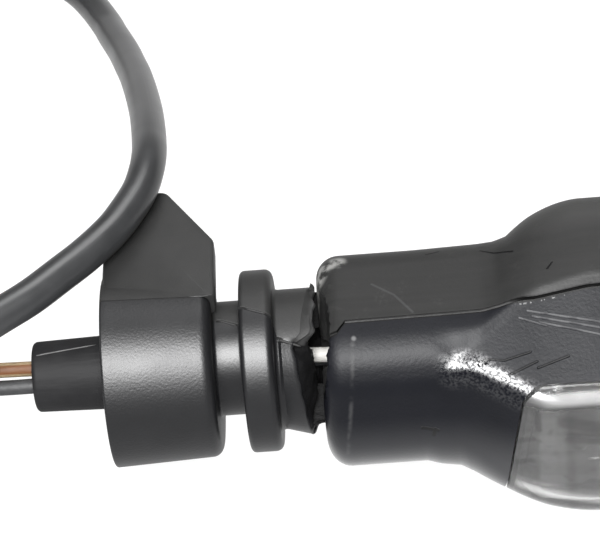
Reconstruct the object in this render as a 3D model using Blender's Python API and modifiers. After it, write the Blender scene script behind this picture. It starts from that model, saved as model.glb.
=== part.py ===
"""Motorcycle turn signal with a torn rubber neck, built from its separate pieces.

Metres. +X runs along the stem from the cable boot to the lamp's tip, -Y is the way the lens faces and
+Z is up. The origin is on the stem's axis, on the flange's panel face.
"""
import math

import bmesh
import bpy
from mathutils import Matrix, Vector

MM = 0.001

# Fits and fineness
SEAT_GAP = 0.3 * MM            # left between two pieces that touch
ROUND_STEPS = 32               # facets round a turned piece
SMALL_STEPS = 16               # facets round a small turned piece
ARC_STEPS = 4                  # facets in a quarter round

# Rubber stem, from the flange's panel face
FLANGE_RADIUS = 10.7 * MM
FLANGE_WIDTH = 3.8 * MM
FLANGE_ROUND = 1.1 * MM
GROOVE_RADIUS = 6.7 * MM       # the panel's hole closes round this
GROOVE_WIDTH = 3.3 * MM        # panel thickness
BUSH_RADIUS = 11.3 * MM
BUSH_DRAFT = 0.45 * MM         # radius lost towards the groove
BUSH_LENGTH = 13.1 * MM
BUSH_ROUND = 0.6 * MM
NECK_RADIUS = 8.2 * MM
NECK_LENGTH = 3.3 * MM         # flange to the deepest of the torn end

# Key tab, a level plate on top of the bush that points to the rear
TAB_WIDTH = 13.1 * MM
TAB_SHOULDER = 9.6 * MM        # stem axis to where the slopes start
TAB_REACH = 17.8 * MM          # stem axis to the apex
TAB_APEX_WIDTH = 2.6 * MM
TAB_THICKNESS = 3.0 * MM
TAB_DRAFT = 0.3 * MM           # width lost on each side by the shoulder

# Wires and cable boot
WIRE_DIAMETER = 1.8 * MM
BOOT_LENGTH = 8.2 * MM
BOOT_RADIUS = 4.35 * MM
BOOT_DRAFT = 0.2 * MM
BOOT_ROUND = 0.9 * MM
BOOT_SPIGOT_RADIUS = 3.4 * MM
BOOT_SPIGOT_LENGTH = 6.5 * MM

# Tear in the neck, angles from +Y towards +Z
TEAR_FACING = math.radians(128)    # side where the tear gapes
TEAR_WIDE = 3.2 * MM
TEAR_NARROW = 0.75 * MM
TEAR_BITE = 1.4 * MM           # torn out of the neck where the tear gapes
TEAR_RAGGED = 0.35 * MM
TEAR_TRIM = 0.3 * MM           # taken off the block's end all round
WEB_SIDE = math.radians(300)
WEB_SPREAD = math.radians(190)
WEB_THICKNESS = 5.0 * MM
WEB_LENGTH = 2.2 * MM

# Lamp housing
HEAD_SHIFT = 0.5 * MM          # lamp axis below and in front of the stem's axis
BLOCK_WIDTH = 20.7 * MM
BLOCK_ROUND = 5.5 * MM
BLOCK_CHAMFER = 4.0 * MM       # upper front edge of the block
BLOCK_END_ROUND = 2.7 * MM
FRONT_FLARE_AT = 18.8 * MM     # the block starts to swell in front and below
REAR_FLARE_AT = 26.5 * MM      # and above and behind
FRONT_FULL_AT = 36.0 * MM
HEAD_FULL_AT = 40.0 * MM
HEAD_TAPER_AT = 52.0 * MM
HEAD_TIP = 83.0 * MM
HEAD_REAR = 13.4 * MM
HEAD_TOP = 14.2 * MM
HEAD_FRONT = 15.4 * MM
HEAD_BOTTOM = 15.6 * MM
HEAD_DOME = 13.2 * MM          # rounding of the upper rear corner
HEAD_KEEL = 11.0 * MM          # and of the lower one
FACET_TOP_ROUND = 2.5 * MM
FACET_FOOT_ROUND = 1.2 * MM
CHIN_ROUND = 2.0 * MM
FACET_TOP_Y = 6.0 * MM         # front facet: its upper edge, in front of the axis
FACET_LOW_Z = 4.6 * MM         # and its lower edge, above the axis
CHIN_BACK = 1.2 * MM           # lower front edge behind the facet's lower edge
TIP_Y = -4.5 * MM
TIP_Z = -1.5 * MM
TIP_FULLNESS = 2.2
HOUSING_WALL = 2.2 * MM
CAVITY_LEAD = 9.0 * MM         # cavity starts this far left of the socket

# Lens and what lies behind its edge
LENS_LEFT_TOP = 31.8 * MM
LENS_LEFT_BOTTOM = 28.8 * MM
LENS_TIP = 80.8 * MM
LENS_RIM = 1.1 * MM            # housing rim left below the lens
LENS_LAP = 1.4 * MM            # lens reaches this far above the facet's lower edge
LENS_WALL = 1.8 * MM
LENS_ROUND = 2.5 * MM
LENS_BOSS_ROOT = 4.0 * MM      # screw boss starts this far behind the lamp's front
LENS_RAKE = 0.085              # the seat falls back towards the tip
SEAT_Y = -10.0 * MM            # seat for the reflector's flange at the lens's left end
GASKET_THICKNESS = 0.9 * MM
GASKET_WIDTH = 1.3 * MM
REFLECTOR_WALL = 0.8 * MM
REFLECTOR_FLANGE = 1.5 * MM
REFLECTOR_WAY_DEPTH = 5.0 * MM # housing is cut this deep behind the seat to let the dish in
REFLECTOR_BACK_Y = 5.8 * MM
REFLECTOR_SLOPE = 10.0 * MM    # its ends close in by this much at the back
REFLECTOR_TOP_DRAFT = 0.2 * MM
REFLECTOR_BOTTOM_DRAFT = 2.0 * MM

# Bulb and bayonet socket, along X
BULB_Y = -2.0 * MM
BULB_Z = -3.8 * MM
SOCKET_SETBACK = 0.8 * MM      # socket's foot, left of the lens's lower left corner
SOCKET_LENGTH = 16.0 * MM
SOCKET_WALL = 0.5 * MM
CAP_RADIUS = 7.5 * MM
CAP_LENGTH = 11.5 * MM
CAP_WALL = 0.5 * MM
PIN_RADIUS = 1.0 * MM
PIN_REACH = 0.8 * MM           # pin's height over the cap
PIN_FROM_MOUTH = 1.9 * MM      # pins' middle, inside the socket's mouth
BULB_PUSH = 1.2 * MM
GLASS_RADIUS = 7.4 * MM
GLASS_WALL = 0.6 * MM
GLASS_NECK_RADIUS = 6.0 * MM
GLASS_LENGTH = 16.0 * MM       # beyond the cap
GLASS_SEAT = 4.0 * MM          # neck inside the cap
BASE_THICKNESS = 1.0 * MM
PLUNGER_RADIUS = 1.5 * MM
PLUNGER_HEAD_RADIUS = 3.2 * MM
PLUNGER_HEAD_LENGTH = 0.7 * MM
CONTACT_RADIUS = 2.6 * MM
CONTACT_LENGTH = 0.7 * MM
BEAD_LENGTH = 2.0 * MM
SPRING_WIRE = 0.5 * MM
SPRING_TURNS = 2
SPRING_LENGTH = 3.2 * MM
FILAMENT_WIRE = 0.4 * MM
FILAMENT_POST_SPACE = 5.0 * MM
FILAMENT_REACH = 13.0 * MM
FILAMENT_COIL_RADIUS = 0.5 * MM
TERMINAL_RADIUS = 2.1 * MM
TERMINAL_LENGTH = 3.0 * MM
TAG_WIDTH = 3.0 * MM
TAG_LENGTH = 2.5 * MM
TAG_THICKNESS = 0.6 * MM
TAG_SIDE = math.radians(110)   # round the socket from straight below

# Lens screw, driven from behind near the tip
SCREW_X = 73.0 * MM
SCREW_Z = -3.0 * MM
SCREW_RADIUS = 1.4 * MM
SCREW_HEAD_RADIUS = 2.7 * MM
SCREW_HEAD_LENGTH = 1.8 * MM
SCREW_LENGTH = 11.0 * MM
SCREW_HEAD_Y = 5.2 * MM        # seat of the screw's head
BOSS_RADIUS = 3.6 * MM
BOSS_END_Y = 0.6 * MM

# Harness
TUBE_STEP = 1.5                # diameters from one point of a cord to the next
SHEATH_DIAMETER = 4.25 * MM
COLLAR_WALL = 0.6 * MM
COLLAR_LENGTH = 6.0 * MM
COIL_TURNS = 2
COIL_OUTER = 25.9 * MM         # radius at the middle of the outer turn
COIL_PITCH = 5.4 * MM
COIL_CENTRE = Vector((-64.5, 71.5, -12.5)) * MM
COIL_STEPS = 24
TIE_WIDTH = 3.0 * MM
TIE_THICKNESS = 0.8 * MM
TIE_ANGLE = math.radians(235)
BULLET_RADIUS = 2.0 * MM
BULLET_LENGTH = 9.0 * MM
BULLET_CRIMP_RADIUS = 1.6 * MM
BULLET_WAIST = 0.8 * MM        # half the length of the groove round the bullet
SLEEVE_RADIUS = 2.6 * MM
SLEEVE_LENGTH = 9.0 * MM
SLEEVE_DRAFT = 0.3 * MM
LEAD_TWIST = math.radians(150)

# Middle line of the two wires from the boot to the sheath, and of the sheath from there to its coil
LEAD_ROUTE = [
    (-25.2, 0.0, 0.0), (-28.0, 0.0, 0.05), (-31.0, -0.05, 0.2), (-34.0, -0.2, 0.5), (-37.0, -0.7, 1.0),
    (-40.0, -1.6, 1.8), (-42.8, -3.0, 3.0), (-45.0, -4.9, 4.6), (-46.3, -7.2, 6.4), (-46.5, -9.6, 8.3),
    (-45.6, -11.7, 10.1), (-43.9, -13.0, 11.5), (-42.0, -13.0, 12.4), (-40.2, -12.1, 12.8),
    (-38.4, -10.9, 13.0),
]
SHEATH_ROUTE = [
    (-38.1, -10.7, 13.05), (-34.5, -8.3, 13.3), (-30.7, -5.9, 13.5), (-27.0, -3.1, 13.6),
    (-23.6, -0.4, 13.6), (-20.3, 2.9, 13.6), (-17.4, 5.9, 13.6), (-14.7, 9.3, 13.6),
    (-13.1, 12.0, 13.6), (-11.3, 16.0, 13.6), (-10.5, 19.7, 13.4), (-10.3, 23.8, 12.4),
    (-10.5, 27.8, 10.9), (-10.9, 32.7, 8.9), (-11.5, 38.4, 6.4), (-12.5, 45.6, 3.2),
    (-13.8, 53.6, -0.5), (-15.0, 59.5, -3.2), (-16.2, 65.1, -5.7), (-18.2, 72.8, -9.0),
    (-19.3, 77.0, -10.6), (-21.6, 83.6, -12.6), (-24.3, 88.6, -13.4), (-29.0, 93.4, -13.4),
    (-35.5, 96.5, -13.0), (-44.0, 97.3, -12.6),
]
LIVE_TAIL_ROUTE = [
    (-4.6, 14.05), (-6.1, 13.5), (-7.3, 12.1), (-8.4, 10.2), (-9.0, 8.0), (-9.0, 5.8), (-8.4, 3.9),
    (-7.2, 2.5), (-5.8, 1.8), (-4.2, 1.6),
]
GROUND_TAIL_ROUTE = [
    (-4.6, 16.15), (-6.6, 15.6), (-8.4, 14.3), (-10.3, 12.3), (-11.9, 9.6), (-12.8, 6.4), (-13.0, 3.0),
    (-12.6, -0.2), (-11.0, -2.9), (-8.9, -4.7), (-6.6, -5.4), (-4.2, -5.5),
]

# Places that follow from the sizes above
BUSH_RIGHT = -GROOVE_WIDTH
BUSH_LEFT = BUSH_RIGHT - BUSH_LENGTH
BOOT_LEFT = BUSH_LEFT - SEAT_GAP - BOOT_LENGTH
NECK_END = FLANGE_WIDTH + NECK_LENGTH
TEAR_LEFT = NECK_END + TEAR_BITE
TEAR_RIGHT = TEAR_LEFT + TEAR_NARROW
WEB_X = (TEAR_LEFT + TEAR_RIGHT) / 2
BLOCK_LEFT = TEAR_RIGHT - TEAR_TRIM
PAIR_OFFSET = (WIRE_DIAMETER + SEAT_GAP) / 2
PAIR_BORE = PAIR_OFFSET + WIRE_DIAMETER / 2 + SEAT_GAP
SOCKET_BORE = CAP_RADIUS + SEAT_GAP
SOCKET_RADIUS = SOCKET_BORE + SOCKET_WALL
SOCKET_AT = LENS_LEFT_BOTTOM - SOCKET_SETBACK
SOCKET_MOUTH = SOCKET_AT + SOCKET_LENGTH
CAVITY_AT = SOCKET_AT - CAVITY_LEAD
BASE_AT = SOCKET_AT + SOCKET_WALL + SEAT_GAP
SPRING_AT = BASE_AT + BASE_THICKNESS + SEAT_GAP
PLUNGER_HEAD_AT = SPRING_AT + SPRING_LENGTH + SEAT_GAP
CONTACT_AT = PLUNGER_HEAD_AT + PLUNGER_HEAD_LENGTH + SEAT_GAP
CAP_AT = CONTACT_AT + CONTACT_LENGTH + SEAT_GAP
CAP_END = CAP_AT + CAP_LENGTH
GASKET_Y = SEAT_Y - SEAT_GAP - REFLECTOR_WALL - SEAT_GAP
LENS_EDGE_Y = GASKET_Y - GASKET_THICKNESS - SEAT_GAP

ALONG_X = Matrix.Rotation(math.pi / 2, 4, "Y")
BULB_LINE = Matrix.Translation((0, BULB_Y, BULB_Z)) @ ALONG_X


# Scene and helpers

for old in list(bpy.data.objects):
    bpy.data.objects.remove(old, do_unlink=True)

PARTS = bpy.data.collections.new("turn_signal_indicator")
CUTTERS = bpy.data.collections.new("cutters")
bpy.context.scene.collection.children.link(PARTS)
bpy.context.scene.collection.children.link(CUTTERS)


def finish(name, colour, roughness, metallic=0.0, alpha=1.0):
    """Principled material for one sub-part."""
    material = bpy.data.materials.new(name)
    material.use_nodes = True
    shader = material.node_tree.nodes["Principled BSDF"]
    shader.inputs["Base Color"].default_value = (*colour, 1.0)
    shader.inputs["Roughness"].default_value = roughness
    shader.inputs["Metallic"].default_value = metallic
    shader.inputs["Alpha"].default_value = alpha
    return material


def add(name, data, material=None, place=Matrix()):
    """Link an object: a part if it has a material, otherwise a cutter."""
    obj = bpy.data.objects.new(name, data)
    obj.matrix_world = place
    if material is None:
        CUTTERS.objects.link(obj)
        obj.hide_render = True
        obj.display_type = "WIRE"
        return obj
    PARTS.objects.link(obj)
    data.materials.append(material)
    return obj


def smooth(obj):
    obj.data.shade_smooth()
    obj.data.set_sharp_from_angle(angle=math.radians(35))
    return obj


def arc(centre_x, centre_r, radius, start, stop):
    """Points (x, r) on a quarter round, angles in degrees from +X towards the outside."""
    angles = [math.radians(start + (stop - start) * i / ARC_STEPS) for i in range(ARC_STEPS + 1)]
    return [(centre_x + radius * math.cos(a), centre_r + radius * math.sin(a)) for a in angles]


def turned(name, profile, material=None, place=ALONG_X, steps=ROUND_STEPS):
    """Turn a closed profile of (x, r) points, given along its outer side from high x to low x."""
    mesh = bpy.data.meshes.new(name)
    points = [(r, 0.0, x) for x, r in profile]
    edges = [(i, (i + 1) % len(points)) for i in range(len(points))]
    if profile[0][1] == 0.0 and profile[-1][1] == 0.0:
        edges.pop()
    mesh.from_pydata(points, edges, [])
    obj = add(name, mesh, material, place)
    screw = obj.modifiers.new("turn", "SCREW")
    screw.steps = screw.render_steps = steps
    screw.use_merge_vertices = True
    screw.merge_threshold = 0.00001
    return as_mesh(obj, material, place)


def as_mesh(obj, material, place=Matrix()):
    """Replace an object by the closed, welded mesh that it evaluates to."""
    name = obj.name
    evaluated = obj.evaluated_get(bpy.context.evaluated_depsgraph_get())
    mesh = bpy.data.meshes.new_from_object(evaluated)
    bpy.data.objects.remove(obj, do_unlink=True)
    work = bmesh.new()
    work.from_mesh(mesh)
    bmesh.ops.remove_doubles(work, verts=work.verts, dist=0.000001)
    bmesh.ops.recalc_face_normals(work, faces=work.faces)
    work.to_mesh(mesh)
    work.free()
    mesh.materials.clear()
    return smooth(add(name, mesh, material, place))


def rod(name, radius, start, stop, material=None, place=ALONG_X, steps=ROUND_STEPS):
    """Cylinder along the place's own axis."""
    work = bmesh.new()
    bmesh.ops.create_cone(work, cap_ends=True, segments=steps, radius1=radius, radius2=radius,
                          depth=stop - start, matrix=Matrix.Translation((0, 0, (start + stop) / 2)))
    mesh = bpy.data.meshes.new(name)
    work.to_mesh(mesh)
    work.free()
    return smooth(add(name, mesh, material, place))


def block(name, low, high, material=None, place=Matrix()):
    """Box between two corners."""
    low, high = Vector(low), Vector(high)
    size = Matrix.Diagonal((*(high - low), 1.0))
    work = bmesh.new()
    bmesh.ops.create_cube(work, size=1.0, matrix=Matrix.Translation((low + high) / 2) @ size)
    mesh = bpy.data.meshes.new(name)
    work.to_mesh(mesh)
    work.free()
    return add(name, mesh, material, place)


def plate(name, outlines, thickness, material=None, place=Matrix()):
    """Flat outline, with holes after the first, extruded by its thickness about the place's plane."""
    curve = bpy.data.curves.new(name, "CURVE")
    curve.dimensions = "2D"
    curve.fill_mode = "BOTH"
    curve.extrude = thickness / 2
    for outline in outlines:
        spline = curve.splines.new("POLY")
        spline.points.add(len(outline) - 1)
        spline.use_cyclic_u = True
        for point, (u, v) in zip(spline.points, outline):
            point.co = (u, v, 0.0, 1.0)
    return as_mesh(add(name, curve, None, place), material, place)


def tube(name, points, diameter, material, resolution=2):
    """Round cord along a row of points."""
    curve = bpy.data.curves.new(name, "CURVE")
    curve.dimensions = "3D"
    curve.bevel_depth = diameter / 2
    curve.bevel_resolution = resolution
    curve.use_fill_caps = True
    spline = curve.splines.new("POLY")
    spline.points.add(len(points) - 1)
    for point, place in zip(spline.points, points):
        point.co = (*place, 1.0)
    return as_mesh(add(name, curve), material)


def skin(name, rings, material=None):
    """Loft a row of equal rings and close its two ends."""
    work = bmesh.new()
    loops = [[work.verts.new(point) for point in ring] for ring in rings]
    for first, second in zip(loops, loops[1:]):
        for i in range(len(first)):
            work.faces.new((first[i - 1], first[i], second[i], second[i - 1]))
    for loop in (loops[0], loops[-1]):
        middle = work.verts.new(sum((v.co for v in loop), Vector()) / len(loop))
        for i in range(len(loop)):
            work.faces.new((loop[i - 1], loop[i], middle))
    bmesh.ops.recalc_face_normals(work, faces=work.faces)
    mesh = bpy.data.meshes.new(name)
    work.to_mesh(mesh)
    work.free()
    return smooth(add(name, mesh, material))


def combine(obj, cutter, operation="DIFFERENCE"):
    """Cut, join or intersect with another object."""
    change = obj.modifiers.new(cutter.name, "BOOLEAN")
    change.object = cutter
    change.operation = operation
    return obj


def through(points, spacing):
    """Even points on a smooth curve through a row of points."""
    points = [Vector(p) for p in points]
    ends = [2 * points[0] - points[1]] + points + [2 * points[-1] - points[-2]]
    fine = []
    for a, b, c, d in zip(ends, ends[1:], ends[2:], ends[3:]):
        for i in range(12):
            t = i / 12
            fine.append(0.5 * (2 * b + (c - a) * t + (2 * a - 5 * b + 4 * c - d) * t ** 2
                               + (3 * b - a - 3 * c + d) * t ** 3))
    fine.append(points[-1])
    lengths = [0.0]
    for a, b in zip(fine, fine[1:]):
        lengths.append(lengths[-1] + (b - a).length)
    count = max(2, round(lengths[-1] / spacing))
    even, j = [], 0
    for i in range(count + 1):
        target = lengths[-1] * i / count
        while j < len(fine) - 2 and lengths[j + 1] < target:
            j += 1
        share = (target - lengths[j]) / (lengths[j + 1] - lengths[j])
        even.append(fine[j].lerp(fine[j + 1], min(max(share, 0.0), 1.0)))
    return even


def least_gap(points, diameter, apart):
    """Least clear distance between stretches of a tube that are apart along its length."""
    best = math.inf
    for i, a in enumerate(points):
        for b in points[i + apart:]:
            best = min(best, (a - b).length)
    return best - diameter


# Rubber stem: bush, tab, groove, flange and neck in one moulding

RUBBER = finish("stem_rubber", (0.035, 0.036, 0.038), 0.55)


def round_the_axis(radius, angle, x):
    return Vector((x, radius * math.cos(angle), radius * math.sin(angle)))


def gape(angle):
    """How far the tear is open at an angle round the stem, from 0 to 1."""
    return max(0.0, math.cos(angle - TEAR_FACING)) ** 1.5


def ragged(angle, phase):
    """Uneven edge of the torn rubber."""
    return TEAR_RAGGED * gape(angle) * (math.sin(5 * angle + phase) + math.sin(11 * angle + 2 * phase)) / 2


def lip_x(angle):
    return TEAR_LEFT - TEAR_BITE * gape(angle) + ragged(angle, 0.6)


def block_x(angle):
    return TEAR_RIGHT + (TEAR_WIDE - TEAR_BITE - TEAR_NARROW) * gape(angle) + ragged(angle, 2.1)


def web_rings(margin=0.0):
    """Sections of the strip of the neck that is not torn through, from one side of it to the other."""
    left, right = WEB_X - WEB_LENGTH / 2 - margin, WEB_X + WEB_LENGTH / 2 + margin
    inside, outside = NECK_RADIUS - WEB_THICKNESS - margin, NECK_RADIUS + margin
    spread = WEB_SPREAD + 2 * margin / inside
    rings = []
    for i in range(9):
        angle = WEB_SIDE + spread * (i / 8 - 0.5)
        corners = [(left, inside), (right, inside), (right, outside), (left, outside)]
        rings.append([round_the_axis(r, angle, x) for x, r in corners])
    return rings


def torn_cutter(name, edge, far_x):
    """Everything from a torn face to far_x."""
    wide = 2 * NECK_RADIUS
    angles = [2 * math.pi * (i + 0.5) / ROUND_STEPS for i in range(ROUND_STEPS)]
    face = [round_the_axis(wide, a, edge(a)) for a in angles]
    back = [round_the_axis(wide, a, far_x) for a in angles]
    return skin(name, [face, back])


def stem_profile():
    points = [(NECK_END + TEAR_WIDE, NECK_RADIUS), (FLANGE_WIDTH, NECK_RADIUS)]
    points += arc(FLANGE_WIDTH - FLANGE_ROUND, FLANGE_RADIUS - FLANGE_ROUND, FLANGE_ROUND, 0, 90)
    points += arc(FLANGE_ROUND, FLANGE_RADIUS - FLANGE_ROUND, FLANGE_ROUND, 90, 180)
    points += [(0.0, GROOVE_RADIUS), (BUSH_RIGHT, GROOVE_RADIUS)]
    points += arc(BUSH_RIGHT - BUSH_ROUND, BUSH_RADIUS - BUSH_DRAFT - BUSH_ROUND, BUSH_ROUND, 0, 90)
    points += arc(BUSH_LEFT + BUSH_ROUND, BUSH_RADIUS - BUSH_ROUND, BUSH_ROUND, 90, 180)
    socket_end = BUSH_LEFT + BOOT_SPIGOT_LENGTH + SEAT_GAP
    socket_radius = BOOT_SPIGOT_RADIUS + SEAT_GAP
    points += [(BUSH_LEFT, socket_radius), (socket_end, socket_radius)]
    points += [(socket_end, PAIR_BORE), (NECK_END + TEAR_WIDE, PAIR_BORE)]
    return points


def tab_outline():
    """Key tab in plan: straight sides with draft, two slopes and a short blunt apex."""
    middle = (BUSH_LEFT + BUSH_RIGHT) / 2
    base, shoulder = TAB_WIDTH / 2, TAB_WIDTH / 2 - TAB_DRAFT
    half = [(base, 0.0), (shoulder, TAB_SHOULDER), (TAB_APEX_WIDTH / 2, TAB_REACH - TAB_APEX_WIDTH / 6),
            (TAB_APEX_WIDTH / 4, TAB_REACH)]
    return [(middle + u, v) for u, v in half] + [(middle - u, v) for u, v in reversed(half)]


stem = turned("stem_moulding", stem_profile(), RUBBER)
tab_top = BUSH_RADIUS - BUSH_DRAFT
tab = plate("tab", [tab_outline()], TAB_THICKNESS,
            place=Matrix.Translation((0, 0, tab_top - TAB_THICKNESS / 2)))
combine(stem, tab, "UNION")
combine(stem, torn_cutter("neck_tear", lip_x, HEAD_TIP))
WEB_POCKET = skin("web_pocket", web_rings(SEAT_GAP))
combine(stem, WEB_POCKET)


# Cable boot in the end of the bush, with the wires' bore

def boot_profile():
    right = BUSH_LEFT - SEAT_GAP
    spigot_end = BUSH_LEFT + BOOT_SPIGOT_LENGTH
    points = [(spigot_end, BOOT_SPIGOT_RADIUS), (right, BOOT_SPIGOT_RADIUS), (right, BOOT_RADIUS)]
    points += arc(BOOT_LEFT + BOOT_ROUND, BOOT_RADIUS - BOOT_DRAFT - BOOT_ROUND, BOOT_ROUND, 90, 180)
    return points + [(BOOT_LEFT, PAIR_BORE), (spigot_end, PAIR_BORE)]


turned("cable_boot", boot_profile(), finish("boot_rubber", (0.03, 0.03, 0.032), 0.5), steps=24)


# Web: the strip of the neck that is not torn through

skin("neck_web", web_rings(), finish("web_rubber", (0.02, 0.02, 0.02), 0.7))


# Lamp housing: sections of five rounded corners, lofted from the neck block to the tip

def rounded(corners, arc_points=5, side_points=3):
    """Closed outline of (u, v, radius) corners: an arc at each corner and even points along each side."""
    spots = [Vector(corner[:2]) for corner in corners]
    count = len(spots)
    arcs = []
    for i, corner in enumerate(corners):
        before, here, after = spots[i - 1], spots[i], spots[(i + 1) % count]
        arms = [(before - here).normalized(), (after - here).normalized()]
        half = arms[0].angle(arms[1]) / 2
        room = 0.48 * min((before - here).length, (after - here).length)
        reach = min(corner[2] / math.tan(half), room)
        radius = reach * math.tan(half)
        centre = here + (arms[0] + arms[1]).normalized() * (radius / math.sin(half))
        start, stop = here + arms[0] * reach - centre, here + arms[1] * reach - centre
        turn = start.angle_signed(stop)
        arcs.append([centre + Matrix.Rotation(-turn * k / (arc_points - 1), 2) @ start
                     for k in range(arc_points)])
    points = []
    for i in range(count):
        points += arcs[i]
        first, last = arcs[i][-1], arcs[(i + 1) % count][0]
        points += [first.lerp(last, k / (side_points + 1)) for k in range(1, side_points + 1)]
    return points


def ease(x, start, stop):
    """Smooth share of the way from start to stop."""
    t = min(max((x - start) / (stop - start), 0.0), 1.0)
    return t * t * (3 - 2 * t)


def tip_share(x, tip):
    """How much of the full section is left at x, falling to nothing at the tip."""
    t = min(max((x - HEAD_TAPER_AT) / (tip - HEAD_TAPER_AT), 0.0), 1.0)
    return (1 - t ** TIP_FULLNESS) ** (1 / TIP_FULLNESS)


def head_corners(x):
    """Corners of the lamp's section at x: rear top, facet top, facet foot, chin and rear bottom."""
    half, chamfer = BLOCK_WIDTH / 2, BLOCK_CHAMFER
    low, high = -half - HEAD_SHIFT, half - HEAD_SHIFT
    neck = [(high, high, BLOCK_ROUND), (low + chamfer, high, chamfer), (low, high - chamfer, chamfer),
            (low, low, BLOCK_ROUND), (high, low, BLOCK_ROUND)]
    full = [(HEAD_REAR, HEAD_TOP, HEAD_DOME), (-FACET_TOP_Y, HEAD_TOP, FACET_TOP_ROUND),
            (-HEAD_FRONT, FACET_LOW_Z, FACET_FOOT_ROUND), (CHIN_BACK - HEAD_FRONT, -HEAD_BOTTOM, CHIN_ROUND),
            (HEAD_REAR, -HEAD_BOTTOM, HEAD_KEEL)]
    rear = ease(x, REAR_FLARE_AT, HEAD_FULL_AT)
    front = ease(x, FRONT_FLARE_AT, FRONT_FULL_AT)
    shares = [rear, rear, front, front, (front + rear) / 2]
    left = tip_share(x, HEAD_TIP)
    corners = []
    for (y0, z0, r0), (y1, z1, r1), share in zip(neck, full, shares):
        y, z, r = (a + (b - a) * share for a, b in ((y0, y1), (z0, z1), (r0, r1)))
        corners.append((TIP_Y + (y - TIP_Y) * left, TIP_Z + (z - TIP_Z) * left, r * left))
    return corners


def inset(corners, depth):
    """Corners drawn in by a wall's thickness."""
    spots = [Vector(corner[:2]) for corner in corners]
    count = len(spots)
    result = []
    for i, corner in enumerate(corners):
        arms = [(spots[i - 1] - spots[i]).normalized(), (spots[(i + 1) % count] - spots[i]).normalized()]
        half = arms[0].angle(arms[1]) / 2
        spot = spots[i] + (arms[0] + arms[1]).normalized() * (depth / math.sin(half))
        result.append((spot.x, spot.y, max(corner[2] - depth, depth / 4)))
    return result


def head_stations(start, stop):
    """Places of the sections: even along the lamp, closer together at the tip."""
    even = [start + (HEAD_TAPER_AT - start) * i / 12 for i in range(12)]
    span = stop - HEAD_TAPER_AT
    return even + [HEAD_TAPER_AT + span * math.sin(math.pi / 2 * i / 8) for i in range(9)]


def head_form(name, start, stop, wall=0.0, end_round=0.0, material=None):
    """Solid of the lamp's outer form between two places, drawn in by a wall."""
    stations = head_stations(start + end_round, stop)
    rings = []
    if end_round:
        for i in range(ARC_STEPS):
            angle = math.pi / 2 * i / ARC_STEPS
            drawn = wall + end_round * (1 - math.sin(angle))
            rings.append((start + end_round * (1 - math.cos(angle)), inset(head_corners(start), drawn)))
    for x in stations:
        corners = head_corners(x)
        rings.append((x, inset(corners, wall) if wall else corners))
    return skin(name, [[(x, u, v) for u, v in rounded(corners)] for x, corners in rings], material)


def lens_outline(drawn_in=0.0):
    """Lens as seen from the front: slanted left end, edges that follow the lamp's, rounded tip."""
    top, bottom = FACET_LOW_Z + LENS_LAP - drawn_in, LENS_RIM - HEAD_BOTTOM + drawn_in
    tip = LENS_TIP - drawn_in
    left = rounded([(LENS_LEFT_BOTTOM + drawn_in, bottom, LENS_ROUND), (HEAD_TAPER_AT, bottom, LENS_ROUND),
                    (HEAD_TAPER_AT, top, LENS_ROUND), (LENS_LEFT_TOP + drawn_in, top, LENS_ROUND)], 5, 0)
    start = left[15:20] + left[0:5]
    stations = [HEAD_TAPER_AT + (tip - HEAD_TAPER_AT) * math.sin(math.pi / 2 * i / 9) for i in range(10)]
    shares = [tip_share(x, tip) for x in stations]
    lower = [(x, TIP_Z + (bottom - TIP_Z) * s) for x, s in zip(stations, shares)]
    upper = [(x, TIP_Z + (top - TIP_Z) * s) for x, s in zip(stations[:-1], shares)]
    return [tuple(p) for p in start] + lower + upper[::-1]


FACING_FRONT = Matrix.Rotation(math.pi / 2, 4, "X")


def rake(obj):
    """Lean a piece of the lens's seat back towards the tip."""
    lean = Matrix.Identity(4)
    lean[1][0] = LENS_RAKE
    lean[1][3] = -LENS_RAKE * LENS_LEFT_BOTTOM
    obj.data.transform(lean @ obj.matrix_world)
    obj.matrix_world = Matrix()
    return obj


def front_plate(name, outlines, low_y, high_y, material=None):
    """Plate with the lens's outline between two places in depth, leaning with the seat."""
    place = Matrix.Translation((0, (low_y + high_y) / 2, 0)) @ FACING_FRONT
    return rake(plate(name, outlines, high_y - low_y, material, place))


FRONT_FAR = -2 * HEAD_FRONT
TIP_END = HEAD_TAPER_AT + (HEAD_TIP - HEAD_TAPER_AT) * 0.995
CAVITY_END = HEAD_TIP - 2 * HOUSING_WALL
SCREW_LINE = Matrix.Translation((SCREW_X, 0, SCREW_Z)) @ Matrix.Rotation(-math.pi / 2, 4, "X")
SCREW_BORE = SCREW_RADIUS + SEAT_GAP

housing = head_form("lamp_housing", BLOCK_LEFT, TIP_END, end_round=BLOCK_END_ROUND,
                    material=finish("housing_plastic", (0.03, 0.031, 0.034), 0.45))
combine(housing, head_form("cavity", CAVITY_AT, CAVITY_END, wall=HOUSING_WALL))
combine(housing, rod("screw_boss", BOSS_RADIUS, BOSS_END_Y, HEAD_REAR / 2, place=SCREW_LINE, steps=20), "UNION")
combine(housing, rod("screw_recess", SCREW_HEAD_RADIUS + SEAT_GAP, SCREW_HEAD_Y, HEAD_REAR,
                     place=SCREW_LINE, steps=20))
combine(housing, rod("screw_way", SCREW_BORE, 0.0, HEAD_REAR, place=SCREW_LINE, steps=20))
combine(housing, front_plate("lens_seat", [lens_outline()], FRONT_FAR, SEAT_Y))
combine(housing, front_plate("reflector_way", [lens_outline(REFLECTOR_FLANGE - REFLECTOR_WALL)],
                             SEAT_Y - SEAT_GAP, SEAT_Y + REFLECTOR_WAY_DEPTH))
combine(housing, rod("wire_way", PAIR_BORE, NECK_END, CAVITY_AT + HOUSING_WALL, steps=20))
combine(housing, torn_cutter("block_tear", block_x, -HEAD_TIP))
combine(housing, WEB_POCKET)
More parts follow.
